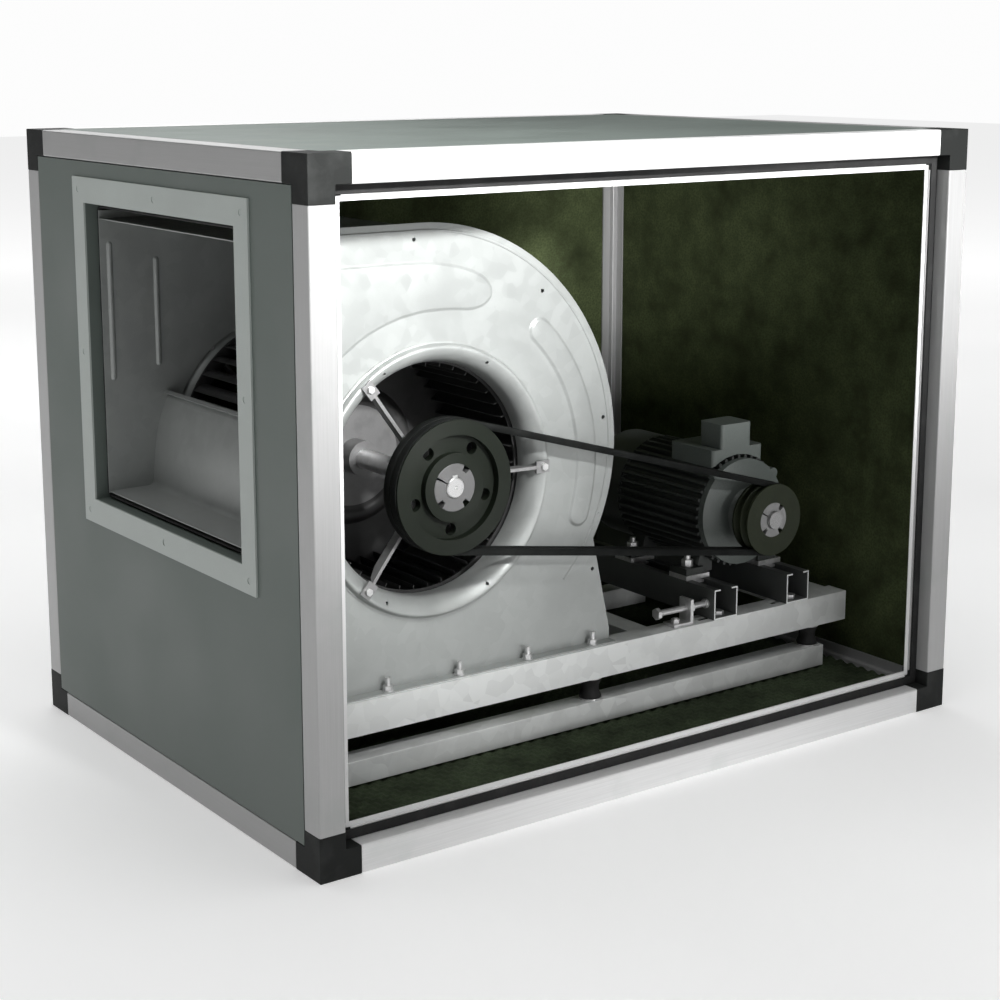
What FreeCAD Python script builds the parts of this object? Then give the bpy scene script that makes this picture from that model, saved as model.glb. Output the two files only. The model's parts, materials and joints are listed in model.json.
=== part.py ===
"""Cabinet fan section: a belt-driven, double-inlet centrifugal blower in an insulated box.

All sizes are in millimetres. The model is drawn from the cabinet's lower left front corner:
x runs along the front, y runs back into the cabinet and z runs up. The front faces -Y and is
open for service, and the air leaves through the left side, towards -X. Each sub-part is moved
as it is saved, so that the origin ends at the bottom centre of the whole object.
"""

import FreeCAD
import Part
import math
import os

# ---------------------------------------------------------------- driving dimensions

WIDTH = 1200.0
DEPTH = 870.0
HEIGHT = 950.0

PROFILE = 40.0            # square aluminium frame tube
PROFILE_WALL = 2.2
PROFILE_ROUND = 2.5
CORNER_ARM = 64.0         # reach of a moulded corner along each edge
SPIGOT = 30.0             # the corner's plug inside a tube
SEAT = 27.5               # depth of the landing fins behind the outer faces
FIN = 2.5
FIN_REACH = 16.0
SKIN = 1.2                # sheet steel of the panels
PANEL_GAP = 1.0

GASKET = 3.0
GASKET_WIDTH = 14.0
LANDING = 2.0
LANDING_INNER = 63.0      # inner edge of the front landing frame, from the outer faces

OPENING_Y = (188.0, 657.0)   # discharge opening in the left panel
OPENING_Z = (393.0, 848.0)
DUCT_FLANGE = 3.0
DUCT_BORDER = 38.0
DUCT_HOLE_R = 4.5

MAT_TOP = 46.0            # floor mat
FLOOR_RAIL_TOP = 82.0
BASE_RAIL_BOTTOM = 118.0
BASE_RAIL_TOP = 168.0
RAIL_DEPTH = 40.0
RAIL_WALL = 2.5
FRONT_RAIL_Y = 170.0
ISOLATOR_R = 18.0
ISOLATOR_X = (130.0, 600.0, 1070.0)

SHAFT_X = 315.0           # fan shaft axis
SHAFT_Z = 464.0
SHAFT_R = 15.0
BLOWER_Y = (195.0, 650.0)    # outer faces of the side plates
BLOWER_MID = sum(BLOWER_Y) / 2
SIDE_SHEET = 2.0
WRAP_SHEET = 1.5
RIM = 13.0                # side plate beyond the scroll wrap
OUTLET_X = 17.0           # end of the blower's outlet
SCROLL_R = (339.0, 288.0, 247.0, 217.0)
SCROLL_TOP = (295.0, 484.0)
SCROLL_END = 26.8         # degrees of the last arc, up to the lip
CUTOFF_GAP = 0.3          # between the cut-off plate and the scroll it laps
CUTOFF_MEET = 6.0         # degrees above the last arc's start where the plate meets it
CUTOFF_PAST = 1.5         # degrees that the plate goes on past the lip
CUTOFF_BEND = 10.0
CUTOFF_ROLL = 4.0
OUTLET_FLOOR = 404.0
FOOT_X = (75.0, 641.0)
FOOT_FLANGE = 18.0
FOOT_PITCH = 125.0
FOOT_FIRST = 100.0
FOOT_BOLTS = 5

WHEEL_R = 190.5
WHEEL_HALF = 191.5
BLADE_IN_R = 162.0
BLADE_SHEET = 1.2
BLADES = 42
WHEEL_SHEET = 3.0
HUB_R = 27.0
HUB_FLANGE_R = 78.0

INLET_FLANGE_R = 203.0
INLET_THROAT_R = 171.0
INLET_SHEET = 1.5
INLET_CREST = 10.0        # height of the ring's crest over the side plate
INLET_HOLE_R = 2.5
INLET_HOLES = (62.0, 118.0, 242.0, 298.0)
RIM_HOLE_R = 3.0
RIM_HOLES = ((283.0, 813.0), (508.0, 725.0), (625.0, 523.0), (615.0, 375.0), (607.0, 287.0))

BEARING_OUT_R = 31.0
BEARING_GAP_R = 22.0
CUSHION_R = 35.0
TRIPOD_HUB_R = 41.0
TRIPOD_BAR = 5.0
LUG_SHEET = 4.0
BOLT_HOLE_R = 3.2
TRIPOD_ANGLES = (0.0, 128.0, 229.0)
TRIPOD_BOLT_R = 187.0     # on the crest of the inlet ring
TRIPOD_LUG_IN_R = 173.0

PULLEY_Y = 143.0
PULLEY_WIDTH = 35.0
GROOVE_PITCH = 15.0
GROOVE_EDGE = 10.0
LARGE_DATUM_R = 95.0
SMALL_DATUM_R = 56.0
DATUM_HEIGHT = 2.75
GROOVE_DEPTH = 13.75
GROOVE_HALF_WIDTH = 5.5      # at the datum line
GROOVE_SLOPE = math.tan(math.radians(19.0))
BELT_HIGH = 3.8
BELT_LOW = 6.2
BELT_HALF_WIDTH = 5.35
BELT_CLEAR = 0.15
LARGE_BUSH_R = 35.0
LARGE_HUB_R = 50.0
LARGE_RIM_R = 76.0
LIGHTENING_R = 9.0
SMALL_BUSH_R = 28.5
SMALL_HUB_R = 40.0
BUSH_SCREWS = (60, 180, 300)
KEY_WIDTH = 8.0
KEY_HEIGHT = 7.0
KEY_DEPTH = 4.0           # of the shaft's keyway
KEY_LENGTH = 32.0
SHAFT_END = PULLEY_Y - 2.0

MOTOR_X = 940.0
MOTOR_Z = 326.0
MOTOR_FRONT = 198.0          # shaft shoulder
MOTOR_HEIGHT = 100.0         # shaft above the feet
MOTOR_BORE_R = 79.0
MOTOR_BODY_R = 85.0
MOTOR_FIN_R = 93.0
MOTOR_FINS = 40
MOTOR_SHAFT_R = 14.0
SHIELD_R = 88.0
FRAME_Y = (228.0, 428.0)
COWL_END = 513.0
FOOT_HOLES_X = 80.0
FOOT_HOLES_Y = (63.0, 203.0)
PACKER = 8.0
GLAND_BORE_R = 6.0

CROSS_RAIL_X = (865.0, 1026.0)
CROSS_RAIL = 50.0
CROSS_LIP = 13.0
SCREW_R = 5.0
SCREW_Y = 190.0
SCREW_Z = 193.0
RUN_CLEAR = 0.05

CENTRE_X = (WIDTH - DUCT_FLANGE) / 2
CENTRE_Y = DEPTH / 2


# ---------------------------------------------------------------- helpers

def vec(x, y, z):
    return FreeCAD.Vector(x, y, z)


def box(x, y, z):
    """A block between the two values given for each axis."""
    size = (x[1] - x[0], y[1] - y[0], z[1] - z[0])
    return Part.makeBox(*size, vec(x[0], y[0], z[0]))


def rod_x(x, y, z, radius):
    return Part.makeCylinder(radius, x[1] - x[0], vec(x[0], y, z), vec(1, 0, 0))


def rod_y(x, y, z, radius):
    return Part.makeCylinder(radius, y[1] - y[0], vec(x, y[0], z), vec(0, 1, 0))


def rod_z(x, y, z, radius):
    return Part.makeCylinder(radius, z[1] - z[0], vec(x, y, z[0]), vec(0, 0, 1))


def tube_y(x, y, z, outer, inner):
    return rod_y(x, y, z, outer).cut(rod_y(x, y, z, inner))


def fused(shapes):
    whole = shapes[0].fuse(list(shapes[1:]))
    return whole.removeSplitter()


def group(shapes):
    return Part.makeCompound(list(shapes))


def polygon_y(points, y):
    """A prism along y whose section is a list of (x, z) points."""
    corners = [vec(x, y[0], z) for x, z in points]
    face = Part.Face(Part.makePolygon(corners + corners[:1]))
    return face.extrude(vec(0, y[1] - y[0], 0))


def polygon_x(points, x):
    """A prism along x whose section is a list of (y, z) points."""
    corners = [vec(x[0], y, z) for y, z in points]
    face = Part.Face(Part.makePolygon(corners + corners[:1]))
    return face.extrude(vec(x[1] - x[0], 0, 0))


def polygon_z(points, z):
    """A prism along z whose section is a list of (x, y) points."""
    corners = [vec(x, y, z[0]) for x, y in points]
    face = Part.Face(Part.makePolygon(corners + corners[:1]))
    return face.extrude(vec(0, 0, z[1] - z[0]))


def ring_frame_y(outer, inner, y):
    """A rectangular frame that lies in the xz plane; outer and inner are (x0, x1, z0, z1)."""
    whole = box(outer[:2], y, outer[2:])
    return whole.cut(box(inner[:2], (y[0] - 1, y[1] + 1), inner[2:]))


def ring_frame_x(outer, inner, x):
    """A rectangular frame that lies in the yz plane; outer and inner are (y0, y1, z0, z1)."""
    whole = box(x, outer[:2], outer[2:])
    return whole.cut(box((x[0] - 1, x[1] + 1), inner[:2], inner[2:]))


def hexagon(across, centre):
    radius = across / math.sqrt(3)
    turns = [math.radians(60 * k + 30) for k in range(6)]
    return [(centre[0] + radius * math.cos(t), centre[1] + radius * math.sin(t)) for t in turns]


def polar(radius, degrees, centre):
    turn = math.radians(degrees)
    return centre[0] + radius * math.cos(turn), centre[1] + radius * math.sin(turn)


def strip(start, heading, moves, thickness, y):
    """A sheet of one thickness that follows straight runs and tangent arcs in the xz plane.

    A move is ("run", length) or ("turn", radius, degrees), where a turn to the right is
    negative. The thickness is added on the left of the way the path runs.
    """
    near, far = [], []
    x, z = start
    angle = math.radians(heading)

    def place(side):
        return vec(x - side * math.sin(angle), y[0], z + side * math.cos(angle))

    for move in moves:
        first = (place(0), place(thickness))
        middle = None
        if move[0] == "run":
            x += move[1] * math.cos(angle)
            z += move[1] * math.sin(angle)
        else:
            radius, sweep = move[1], math.radians(move[2])
            side = math.copysign(1, sweep)
            cx = x - side * radius * math.sin(angle)
            cz = z + side * radius * math.cos(angle)
            for part_way in (0.5, 1.0):
                turned = angle + sweep * 0.5
                x = cx + side * radius * math.sin(turned)
                z = cz - side * radius * math.cos(turned)
                angle = turned
                if part_way < 1:
                    middle = (place(0), place(thickness))
        last = (place(0), place(thickness))
        for edges, k in ((near, 0), (far, 1)):
            if middle is None:
                edges.append(Part.makeLine(first[k], last[k]))
            else:
                edges.append(Part.Arc(first[k], middle[k], last[k]).toShape())
    ends = [
        Part.makeLine(near[0].firstVertex().Point, far[0].firstVertex().Point),
        Part.makeLine(last[0], last[1]),
    ]
    wire = Part.Wire(Part.__sortEdges__(near + far + ends))
    return Part.Face(wire).extrude(vec(0, y[1] - y[0], 0))


def revolve_y(points, centre):
    """A solid of revolution about a y-axis line; points are (radius, y)."""
    corners = [vec(centre[0] + r, y, centre[1]) for r, y in points]
    face = Part.Face(Part.makePolygon(corners + corners[:1]))
    return face.revolve(vec(centre[0], 0, centre[1]), vec(0, 1, 0), 360)


def mirrored(shape, middle, axis):
    normal = [0, 0, 0]
    normal[axis] = 1
    base = [0, 0, 0]
    base[axis] = middle
    return shape.mirror(vec(*base), vec(*normal))


def both_sides(shape):
    """A blower piece and its mirror image about the blower's middle plane."""
    return [shape, mirrored(shape, BLOWER_MID, 1)]


def save(name, shape):
    os.makedirs("parts", exist_ok=True)
    placed = shape.copy()
    placed.translate(vec(-CENTRE_X, -CENTRE_Y, 0))
    placed.exportStep("parts/" + name + ".step")
    volume = sum(s.Volume for s in placed.Solids)
    print(f"{name:24s} solids {len(placed.Solids):3d}  volume {volume:12.0f}")


# ---------------------------------------------------------------- cabinet

def frame_tube(axis, length):
    """One frame tube with its two landing fins, along an axis at the origin's corner."""
    run = (CORNER_ARM, length - CORNER_ARM)
    inner = (PROFILE_WALL, PROFILE - PROFILE_WALL)
    outer = (0, PROFILE)
    tube = box(outer, outer, run)
    long_edges = [e for e in tube.Edges if e.Length > PROFILE + 1]
    tube = tube.makeFillet(PROFILE_ROUND, long_edges)
    tube = tube.cut(box(inner, inner, run))
    depth = (SEAT, SEAT + FIN)
    wall = (PROFILE - PROFILE_WALL, PROFILE + FIN_REACH)
    tube = fused([tube, box(wall, depth, run), box(depth, wall, run)])
    if axis == 0:
        tube.rotate(vec(0, 0, 0), vec(1, 1, 1), 120)
    elif axis == 1:
        tube.rotate(vec(0, 0, 0), vec(1, 1, 1), 240)
    return tube


def frame_tubes(axis):
    size = (WIDTH, DEPTH, HEIGHT)
    others = [k for k in range(3) if k != axis]
    tubes = [frame_tube(axis, size[axis])]
    for k in others:
        tubes += [mirrored(t, size[k] / 2, k) for t in tubes]
    return group(tubes)


def corner_block():
    """Moulded three-way corner at the origin, with a plug for each tube and its fin stubs."""
    outer = (0, PROFILE)
    arm = (0, CORNER_ARM)
    clear = PROFILE_WALL + 0.2
    plug = (clear, PROFILE - clear)
    reach = (CORNER_ARM - 1, CORNER_ARM + SPIGOT)
    depth = (SEAT, SEAT + FIN)
    stub = (PROFILE - 1, PROFILE + FIN_REACH)
    run = (PROFILE - 1, CORNER_ARM)
    solids = [
        box(arm, outer, outer), box(outer, arm, outer), box(outer, outer, arm),
        box(reach, plug, plug), box(plug, reach, plug), box(plug, plug, reach),
    ]
    for first, second in ((stub, run), (run, stub)):
        solids.append(box(depth, first, second))
        solids.append(box(first, depth, second))
        solids.append(box(first, second, depth))
    return fused(solids)


def corner_blocks():
    blocks = [corner_block()]
    for axis, size in enumerate((WIDTH, DEPTH, HEIGHT)):
        blocks += [mirrored(b, size / 2, axis) for b in blocks]
    return group(blocks)


def tray(x, y, z, open_side):
    """A pressed sheet tray, open on one side, given as (axis, -1 or 1)."""
    spans = [list(x), list(y), list(z)]
    inside = [[s[0] + SKIN, s[1] - SKIN] for s in spans]
    axis, side = open_side
    if side > 0:
        inside[axis][1] += SKIN + 1
    else:
        inside[axis][0] -= SKIN + 1
    return box(*spans).cut(box(*inside))


def slab(x, y, z, open_side):
    """Insulation that fills a tray."""
    spans = [[s[0] + SKIN, s[1] - SKIN] for s in (x, y, z)]
    axis, side = open_side
    if side > 0:
        spans[axis][1] += SKIN
    else:
        spans[axis][0] -= SKIN
    return box(*spans)


def duct_holes(x):
    """Four corner holes and four mid-side holes of the duct connection."""
    inset = DUCT_BORDER / 2
    ys = (OPENING_Y[0] - inset, sum(OPENING_Y) / 2, OPENING_Y[1] + inset)
    zs = (OPENING_Z[0] - inset, sum(OPENING_Z) / 2, OPENING_Z[1] + inset)
    places = [(y, z) for y in ys for z in zs if (y, z) != (ys[1], zs[1])]
    return [rod_x(x, y, z, DUCT_HOLE_R) for y, z in places]


def panels():
    """Five sheet trays and the insulation in them. The sixth, at the front, is taken off."""
    edge = PROFILE + PANEL_GAP
    x_span = (edge, WIDTH - edge)
    y_span = (edge, DEPTH - edge)
    z_span = (edge, HEIGHT - edge)
    places = {
        "top_panel": (x_span, y_span, (HEIGHT - SEAT, HEIGHT), (2, -1)),
        "bottom_panel": (x_span, y_span, (0, SEAT), (2, 1)),
        "rear_panel": (x_span, (DEPTH - SEAT, DEPTH), z_span, (1, -1)),
        "right_panel": ((WIDTH - SEAT, WIDTH), y_span, z_span, (0, -1)),
    }
    slabs = []
    for name, place in places.items():
        save(name, tray(*place))
        slabs.append(slab(*place))

    place = ((0, SEAT), y_span, z_span, (0, 1))
    border = (
        OPENING_Y[0] - SKIN, OPENING_Y[1] + SKIN,
        OPENING_Z[0] - SKIN, OPENING_Z[1] + SKIN,
    )
    through = (-1, SEAT + 1)
    hole = box(through, OPENING_Y, OPENING_Z)
    collar = box((0, SEAT), border[:2], border[2:])
    left = fused([tray(*place), collar]).cut(hole)
    bolts = duct_holes(through)
    save("discharge_panel", left.cut(bolts))
    left_slab = slab(*place).cut(box(through, border[:2], border[2:]))
    slabs.append(left_slab.cut(bolts))
    save("panel_insulation", group(slabs))


def cabinet():
    save("frame_posts", frame_tubes(2))
    save("frame_long_rails", frame_tubes(0))
    save("frame_cross_rails", frame_tubes(1))
    save("corner_blocks", corner_blocks())
    panels()

    def front_span(inset):
        return (inset, WIDTH - inset, inset, HEIGHT - inset)

    gasket = ring_frame_y(
        front_span(PROFILE + 0.5), front_span(PROFILE + GASKET_WIDTH), (SEAT - GASKET, SEAT)
    )
    save("front_gasket", gasket)
    landing = ring_frame_y(
        front_span(PROFILE + 4), front_span(LANDING_INNER), (SEAT + FIN, SEAT + FIN + LANDING)
    )
    save("front_landing_frame", landing)

    opening = (*OPENING_Y, *OPENING_Z)
    outer = (
        OPENING_Y[0] - DUCT_BORDER, OPENING_Y[1] + DUCT_BORDER,
        OPENING_Z[0] - DUCT_BORDER, OPENING_Z[1] + DUCT_BORDER,
    )
    flange = ring_frame_x(outer, opening, (-DUCT_FLANGE, 0))
    save("duct_flange", flange.cut(duct_holes((-DUCT_FLANGE - 1, 1))))

    inset = PROFILE + FIN_REACH + 2
    mat = box((inset, WIDTH - inset), (inset, DEPTH - inset), (SEAT + FIN, MAT_TOP))
    save("floor_mat", mat)
    save("floor_rails", group([floor_rail(y) for y in (FRONT_RAIL_Y, rear_rail_y())]))
    rubber = []
    for x in ISOLATOR_X:
        for y in (FRONT_RAIL_Y, rear_rail_y()):
            rubber.append(isolator(x, y + RAIL_DEPTH / 2))
    save("isolators", group(rubber))
    save("flexible_sleeve", flexible_sleeve())


def rear_rail_y():
    return 2 * BLOWER_MID - FRONT_RAIL_Y - RAIL_DEPTH


def floor_rail(y):
    """Inverted channel on the floor mat."""
    outer = (y, y + RAIL_DEPTH)
    inner = (y + RAIL_WALL, y + RAIL_DEPTH - RAIL_WALL)
    x = (PROFILE + FIN_REACH + 4, WIDTH - 110)
    rail = box(x, outer, (MAT_TOP, FLOOR_RAIL_TOP))
    return rail.cut(box((x[0] - 1, x[1] + 1), inner, (MAT_TOP - 1, FLOOR_RAIL_TOP - RAIL_WALL)))


def isolator(x, y):
    """Waisted rubber mount between a floor rail and a base rail."""
    height = BASE_RAIL_BOTTOM - FLOOR_RAIL_TOP
    waist = ISOLATOR_R - 4
    flange = 6.0
    points = [
        (0, 0), (ISOLATOR_R, 0), (ISOLATOR_R, flange), (waist, height / 2 - 4),
        (waist, height / 2 + 4), (ISOLATOR_R, height - flange), (ISOLATOR_R, height), (0, height),
    ]
    corners = [vec(x + r, y, FLOOR_RAIL_TOP + z) for r, z in points]
    face = Part.Face(Part.makePolygon(corners + corners[:1]))
    return face.revolve(vec(x, y, 0), vec(0, 0, 1), 360)


def flexible_sleeve():
    """Soft collar that closes the gap between the blower's outlet and the panel opening."""
    gap = 0.4
    outer = (
        OPENING_Y[0] + gap, OPENING_Y[1] - gap, OPENING_Z[0] + gap, OPENING_Z[1] - gap,
    )
    inner = (
        BLOWER_Y[0] - gap, BLOWER_Y[1] + gap, OUTLET_FLOOR - 2 - gap, scroll_top() + RIM + gap,
    )
    return ring_frame_x(outer, inner, (OUTLET_X, SEAT - 2))


# ---------------------------------------------------------------- blower

def scroll_top():
    return SCROLL_TOP[1] + SCROLL_R[0]


def scroll_wrap():
    """Outlet top and scroll in one sheet, by four arcs of shrinking radius."""
    moves = [
        ("run", SCROLL_TOP[0] - OUTLET_X),
        ("turn", SCROLL_R[0], -90),
        ("turn", SCROLL_R[1], -90),
        ("turn", SCROLL_R[2], -90),
        ("turn", SCROLL_R[3], -SCROLL_END),
    ]
    inside = (BLOWER_Y[0] + SIDE_SHEET, BLOWER_Y[1] - SIDE_SHEET)
    return strip((OUTLET_X, scroll_top()), 0, moves, WRAP_SHEET, inside)


def scroll_centres():
    """Centres of the scroll's four arcs, from the outlet's top round to the lip."""
    top, right, bottom, left = SCROLL_R
    x, z = SCROLL_TOP
    second = (x + top - right, z)
    third = (second[0], z - right + bottom)
    return (x, z), second, third, (third[0] - bottom + left, third[1])


def cutoff_plate():
    """Outlet floor that turns up against the scroll's end and rolls over at the lip."""
    lap_r = SCROLL_R[3] + WRAP_SHEET + CUTOFF_GAP
    steep = 90 - CUTOFF_MEET
    sine, cosine = math.sin(math.radians(steep)), math.cos(math.radians(steep))
    cx, cz = scroll_centres()[3]
    rise = cz + lap_r * cosine - OUTLET_FLOOR - CUTOFF_BEND * (1 - cosine)
    floor = cx - lap_r * sine - rise * cosine / sine - CUTOFF_BEND * sine - OUTLET_X
    moves = [
        ("run", floor),
        ("turn", CUTOFF_BEND, steep),
        ("run", rise / sine),
        ("turn", lap_r, CUTOFF_MEET - SCROLL_END - CUTOFF_PAST),
        ("turn", CUTOFF_ROLL, 150),
        ("run", 5),
    ]
    inside = (BLOWER_Y[0] + SIDE_SHEET, BLOWER_Y[1] - SIDE_SHEET)
    return strip((OUTLET_X, OUTLET_FLOOR), 0, moves, WRAP_SHEET, inside)


def side_outline():
    """Outer edge of a side plate: outlet, rim round the scroll, and the foot below."""
    cx, cz = SCROLL_TOP
    top = cz + SCROLL_R[0] + RIM
    big = SCROLL_R[0] + RIM
    small = SCROLL_R[1] + RIM
    second = cx + big - small
    y = BLOWER_Y[0]
    right = vec(cx + big, y, cz)
    notch_turn = -29.6

    def on_arc(x, radius, degrees):
        px, pz = polar(radius, degrees, (x, cz))
        return vec(px, y, pz)

    notch = on_arc(second, small, notch_turn)
    foot = [
        notch, vec(FOOT_X[1], y, BASE_RAIL_TOP + 18), vec(FOOT_X[1], y, BASE_RAIL_TOP),
        vec(FOOT_X[0], y, BASE_RAIL_TOP), vec(FOOT_X[0], y, OUTLET_FLOOR - 2),
        vec(OUTLET_X, y, OUTLET_FLOOR - 2), vec(OUTLET_X, y, top), vec(cx, y, top),
    ]
    edges = [
        Part.Arc(vec(cx, y, top), on_arc(cx, big, 45), right).toShape(),
        Part.Arc(right, on_arc(second, small, notch_turn / 2), notch).toShape(),
    ]
    edges += [Part.makeLine(a, b) for a, b in zip(foot, foot[1:])]
    return Part.Wire(Part.__sortEdges__(edges))


def side_plate():
    sheet = Part.Face(side_outline()).extrude(vec(0, SIDE_SHEET, 0))
    y = (BLOWER_Y[0] - 1, BLOWER_Y[0] + SIDE_SHEET + 1)
    sheet = sheet.cut(rod_y(SHAFT_X, y, SHAFT_Z, INLET_FLANGE_R - 16))
    for x, z in RIM_HOLES:
        sheet = sheet.cut(rod_y(x, y, z, RIM_HOLE_R))
    foot = box(FOOT_X, (BLOWER_Y[0] - FOOT_FLANGE, BLOWER_Y[0] + 1), (BASE_RAIL_TOP, BASE_RAIL_TOP + 2))
    sheet = fused([sheet, foot])
    for x in foot_bolt_places():
        z = (BASE_RAIL_TOP - 1, BASE_RAIL_TOP + 3)
        sheet = sheet.cut(rod_z(x, foot_bolt_y(), z, 4.3))
    return sheet


def foot_bolt_places():
    return [FOOT_FIRST + FOOT_PITCH * k for k in range(FOOT_BOLTS)]


def foot_bolt_y():
    return BLOWER_Y[0] - FOOT_FLANGE / 2 - 1


def foot_bolt(x):
    """Bolt up through the rail and the foot flange, with a washer and a nut on top."""
    y = foot_bolt_y()
    low = BASE_RAIL_TOP - RAIL_WALL
    top = BASE_RAIL_TOP + 2
    stud = rod_z(x, y, (low - 12, top + 20), 4.0)
    nut = polygon_z(hexagon(13, (x, y)), (top + 1.6, top + 8.4))
    washer = rod_z(x, y, (top, top + 1.6), 8.0)
    head = polygon_z(hexagon(13, (x, y)), (low - 5.5, low))
    return fused([stud, nut, washer, head])


def inlet_ring():
    """Bell mouth: flat flange, rounded crest and a throat that reaches in to the wheel."""
    face = BLOWER_Y[0]
    t = INLET_SHEET
    crest_r, crest_y = TRIPOD_BOLT_R, face - INLET_CREST
    outside = [
        (INLET_FLANGE_R, face - t), (198.0, face - t), (193.5, face - 6.0), (crest_r, crest_y),
        (180.0, face - 7.2), (174.5, face + 1.0), (INLET_THROAT_R, face + 14.0),
        (INLET_THROAT_R, face + 31.0),
    ]
    inside = [
        (INLET_THROAT_R + t, face + 31.0), (INLET_THROAT_R + t, face + 14.2),
        (175.9, face + 1.6), (181.0, face - 6.0), (crest_r, crest_y + t),
        (192.3, face - 4.9), (197.0, face), (INLET_FLANGE_R, face),
    ]
    ring = revolve_y(outside + inside, (SHAFT_X, SHAFT_Z))
    through = (crest_y - 1, face + 1)
    for turn in TRIPOD_ANGLES:
        x, z = polar(crest_r, turn, (SHAFT_X, SHAFT_Z))
        ring = ring.cut(rod_y(x, through, z, BOLT_HOLE_R))
    for turn in INLET_HOLES:
        x, z = polar(crest_r, turn, (SHAFT_X, SHAFT_Z))
        ring = ring.cut(rod_y(x, through, z, INLET_HOLE_R))
    return ring


def bearing_y():
    return BLOWER_Y[0] + 7.0


def bearing_tripod():
    """Hub ring on three flat bars that cross the inlet, each ending in a lug on the crest."""
    mid = bearing_y()
    face = BLOWER_Y[0]
    top = face - INLET_CREST
    pieces = [rod_y(SHAFT_X, (mid - 10, mid + 10), SHAFT_Z, TRIPOD_HUB_R)]
    outline = [
        (TRIPOD_HUB_R - 4, face - 2), (150, top - 1), (TRIPOD_LUG_IN_R, top - LUG_SHEET),
        (TRIPOD_BOLT_R, top - LUG_SHEET), (TRIPOD_BOLT_R, top), (TRIPOD_LUG_IN_R, top),
        (167, face - 2), (150, face + 6), (TRIPOD_HUB_R - 4, face + 15),
    ]
    half = TRIPOD_BAR / 2
    corners = [vec(SHAFT_X + r, y, SHAFT_Z - half) for r, y in outline]
    bar = Part.Face(Part.makePolygon(corners + corners[:1])).extrude(vec(0, 0, TRIPOD_BAR))
    lug = box(
        (SHAFT_X + TRIPOD_LUG_IN_R, SHAFT_X + TRIPOD_BOLT_R + 10), (top - LUG_SHEET, top),
        (SHAFT_Z - 9, SHAFT_Z + 9),
    )
    hole = rod_y(SHAFT_X + TRIPOD_BOLT_R, (top - 20, top + 1), SHAFT_Z, BOLT_HOLE_R)
    clear = rod_y(SHAFT_X + TRIPOD_BOLT_R, (top - 20, top - LUG_SHEET), SHAFT_Z, 9.0)
    arm = fused([bar.cut(clear), lug]).cut(hole)
    for turn in TRIPOD_ANGLES:
        one = arm.copy()
        one.rotate(vec(SHAFT_X, 0, SHAFT_Z), vec(0, -1, 0), turn)
        pieces.append(one)
    whole = fused(pieces)
    return whole.cut(rod_y(SHAFT_X, (mid - 11, mid + 11), SHAFT_Z, CUSHION_R))


def tripod_bolts():
    bolts = []
    top = BLOWER_Y[0] - INLET_CREST
    for turn in TRIPOD_ANGLES:
        x, z = polar(TRIPOD_BOLT_R, turn, (SHAFT_X, SHAFT_Z))
        shank = rod_y(x, (top - LUG_SHEET, top + INLET_CREST), z, 3.0)
        head = polygon_y(hexagon(10, (x, z)), (top - LUG_SHEET - 4, top - LUG_SHEET))
        nut = polygon_y(hexagon(10, (x, z)), (top + 5.8, top + INLET_CREST))
        bolts += both_sides(fused([shank, head, nut]))
    return group(bolts)


def base_rail(y, opens):
    """Channel with its web outside and slots in its top flange; opens is 1 or -1 along y."""
    web = y if opens > 0 else y + RAIL_DEPTH - RAIL_WALL
    x = (62.0, WIDTH - 60.0)
    depth = (y, y + RAIL_DEPTH)
    rail = fused([
        box(x, (web, web + RAIL_WALL), (BASE_RAIL_BOTTOM, BASE_RAIL_TOP)),
        box(x, depth, (BASE_RAIL_BOTTOM, BASE_RAIL_BOTTOM + RAIL_WALL)),
        box(x, depth, (BASE_RAIL_TOP - RAIL_WALL, BASE_RAIL_TOP)),
    ])
    near = foot_bolt_y() if opens > 0 else 2 * BLOWER_MID - foot_bolt_y()
    z = (BASE_RAIL_TOP - RAIL_WALL - 1, BASE_RAIL_TOP + 1)
    for place in foot_bolt_places():
        rail = rail.cut(rod_z(place, near, z, 4.3))
    middle = y + RAIL_DEPTH / 2
    for place in CROSS_RAIL_X:
        rail = rail.cut(box((place - 45, place + 15), (middle - 5.5, middle + 5.5), z))
    return rail


def cross_tie(x):
    y = (FRONT_RAIL_Y + RAIL_DEPTH, rear_rail_y())
    z = (BASE_RAIL_BOTTOM + 4, BASE_RAIL_TOP - 4)
    tie = box((x, x + 40), y, z)
    return tie.cut(box((x + RAIL_WALL, x + 41), y, (z[0] + RAIL_WALL, z[1] - RAIL_WALL)))


def blower():
    save("scroll_wrap", scroll_wrap())
    save("cutoff_plate", cutoff_plate())
    front, rear = both_sides(side_plate())
    save("front_side_plate", front)
    save("rear_side_plate", rear)
    save("inlet_rings", group(both_sides(inlet_ring())))
    save("bearing_tripods", group(both_sides(bearing_tripod())))
    mid = bearing_y()
    cushion = tube_y(SHAFT_X, (mid - 10, mid + 10), SHAFT_Z, CUSHION_R, BEARING_OUT_R)
    save("bearing_cushions", group(both_sides(cushion)))
    outer = tube_y(SHAFT_X, (mid - 8, mid + 8), SHAFT_Z, BEARING_OUT_R, BEARING_GAP_R)
    save("bearing_outer_rings", group(both_sides(outer)))
    save("tripod_bolts", tripod_bolts())
    bolts = []
    for x in foot_bolt_places():
        bolts += both_sides(foot_bolt(x))
    save("foot_bolts", group(bolts))
    save("base_rails", group([base_rail(FRONT_RAIL_Y, 1), base_rail(rear_rail_y(), -1)]))
    save("base_cross_ties", group([cross_tie(62.0), cross_tie(700.0), cross_tie(WIDTH - 100.0)]))


# ---------------------------------------------------------------- rotor

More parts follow.
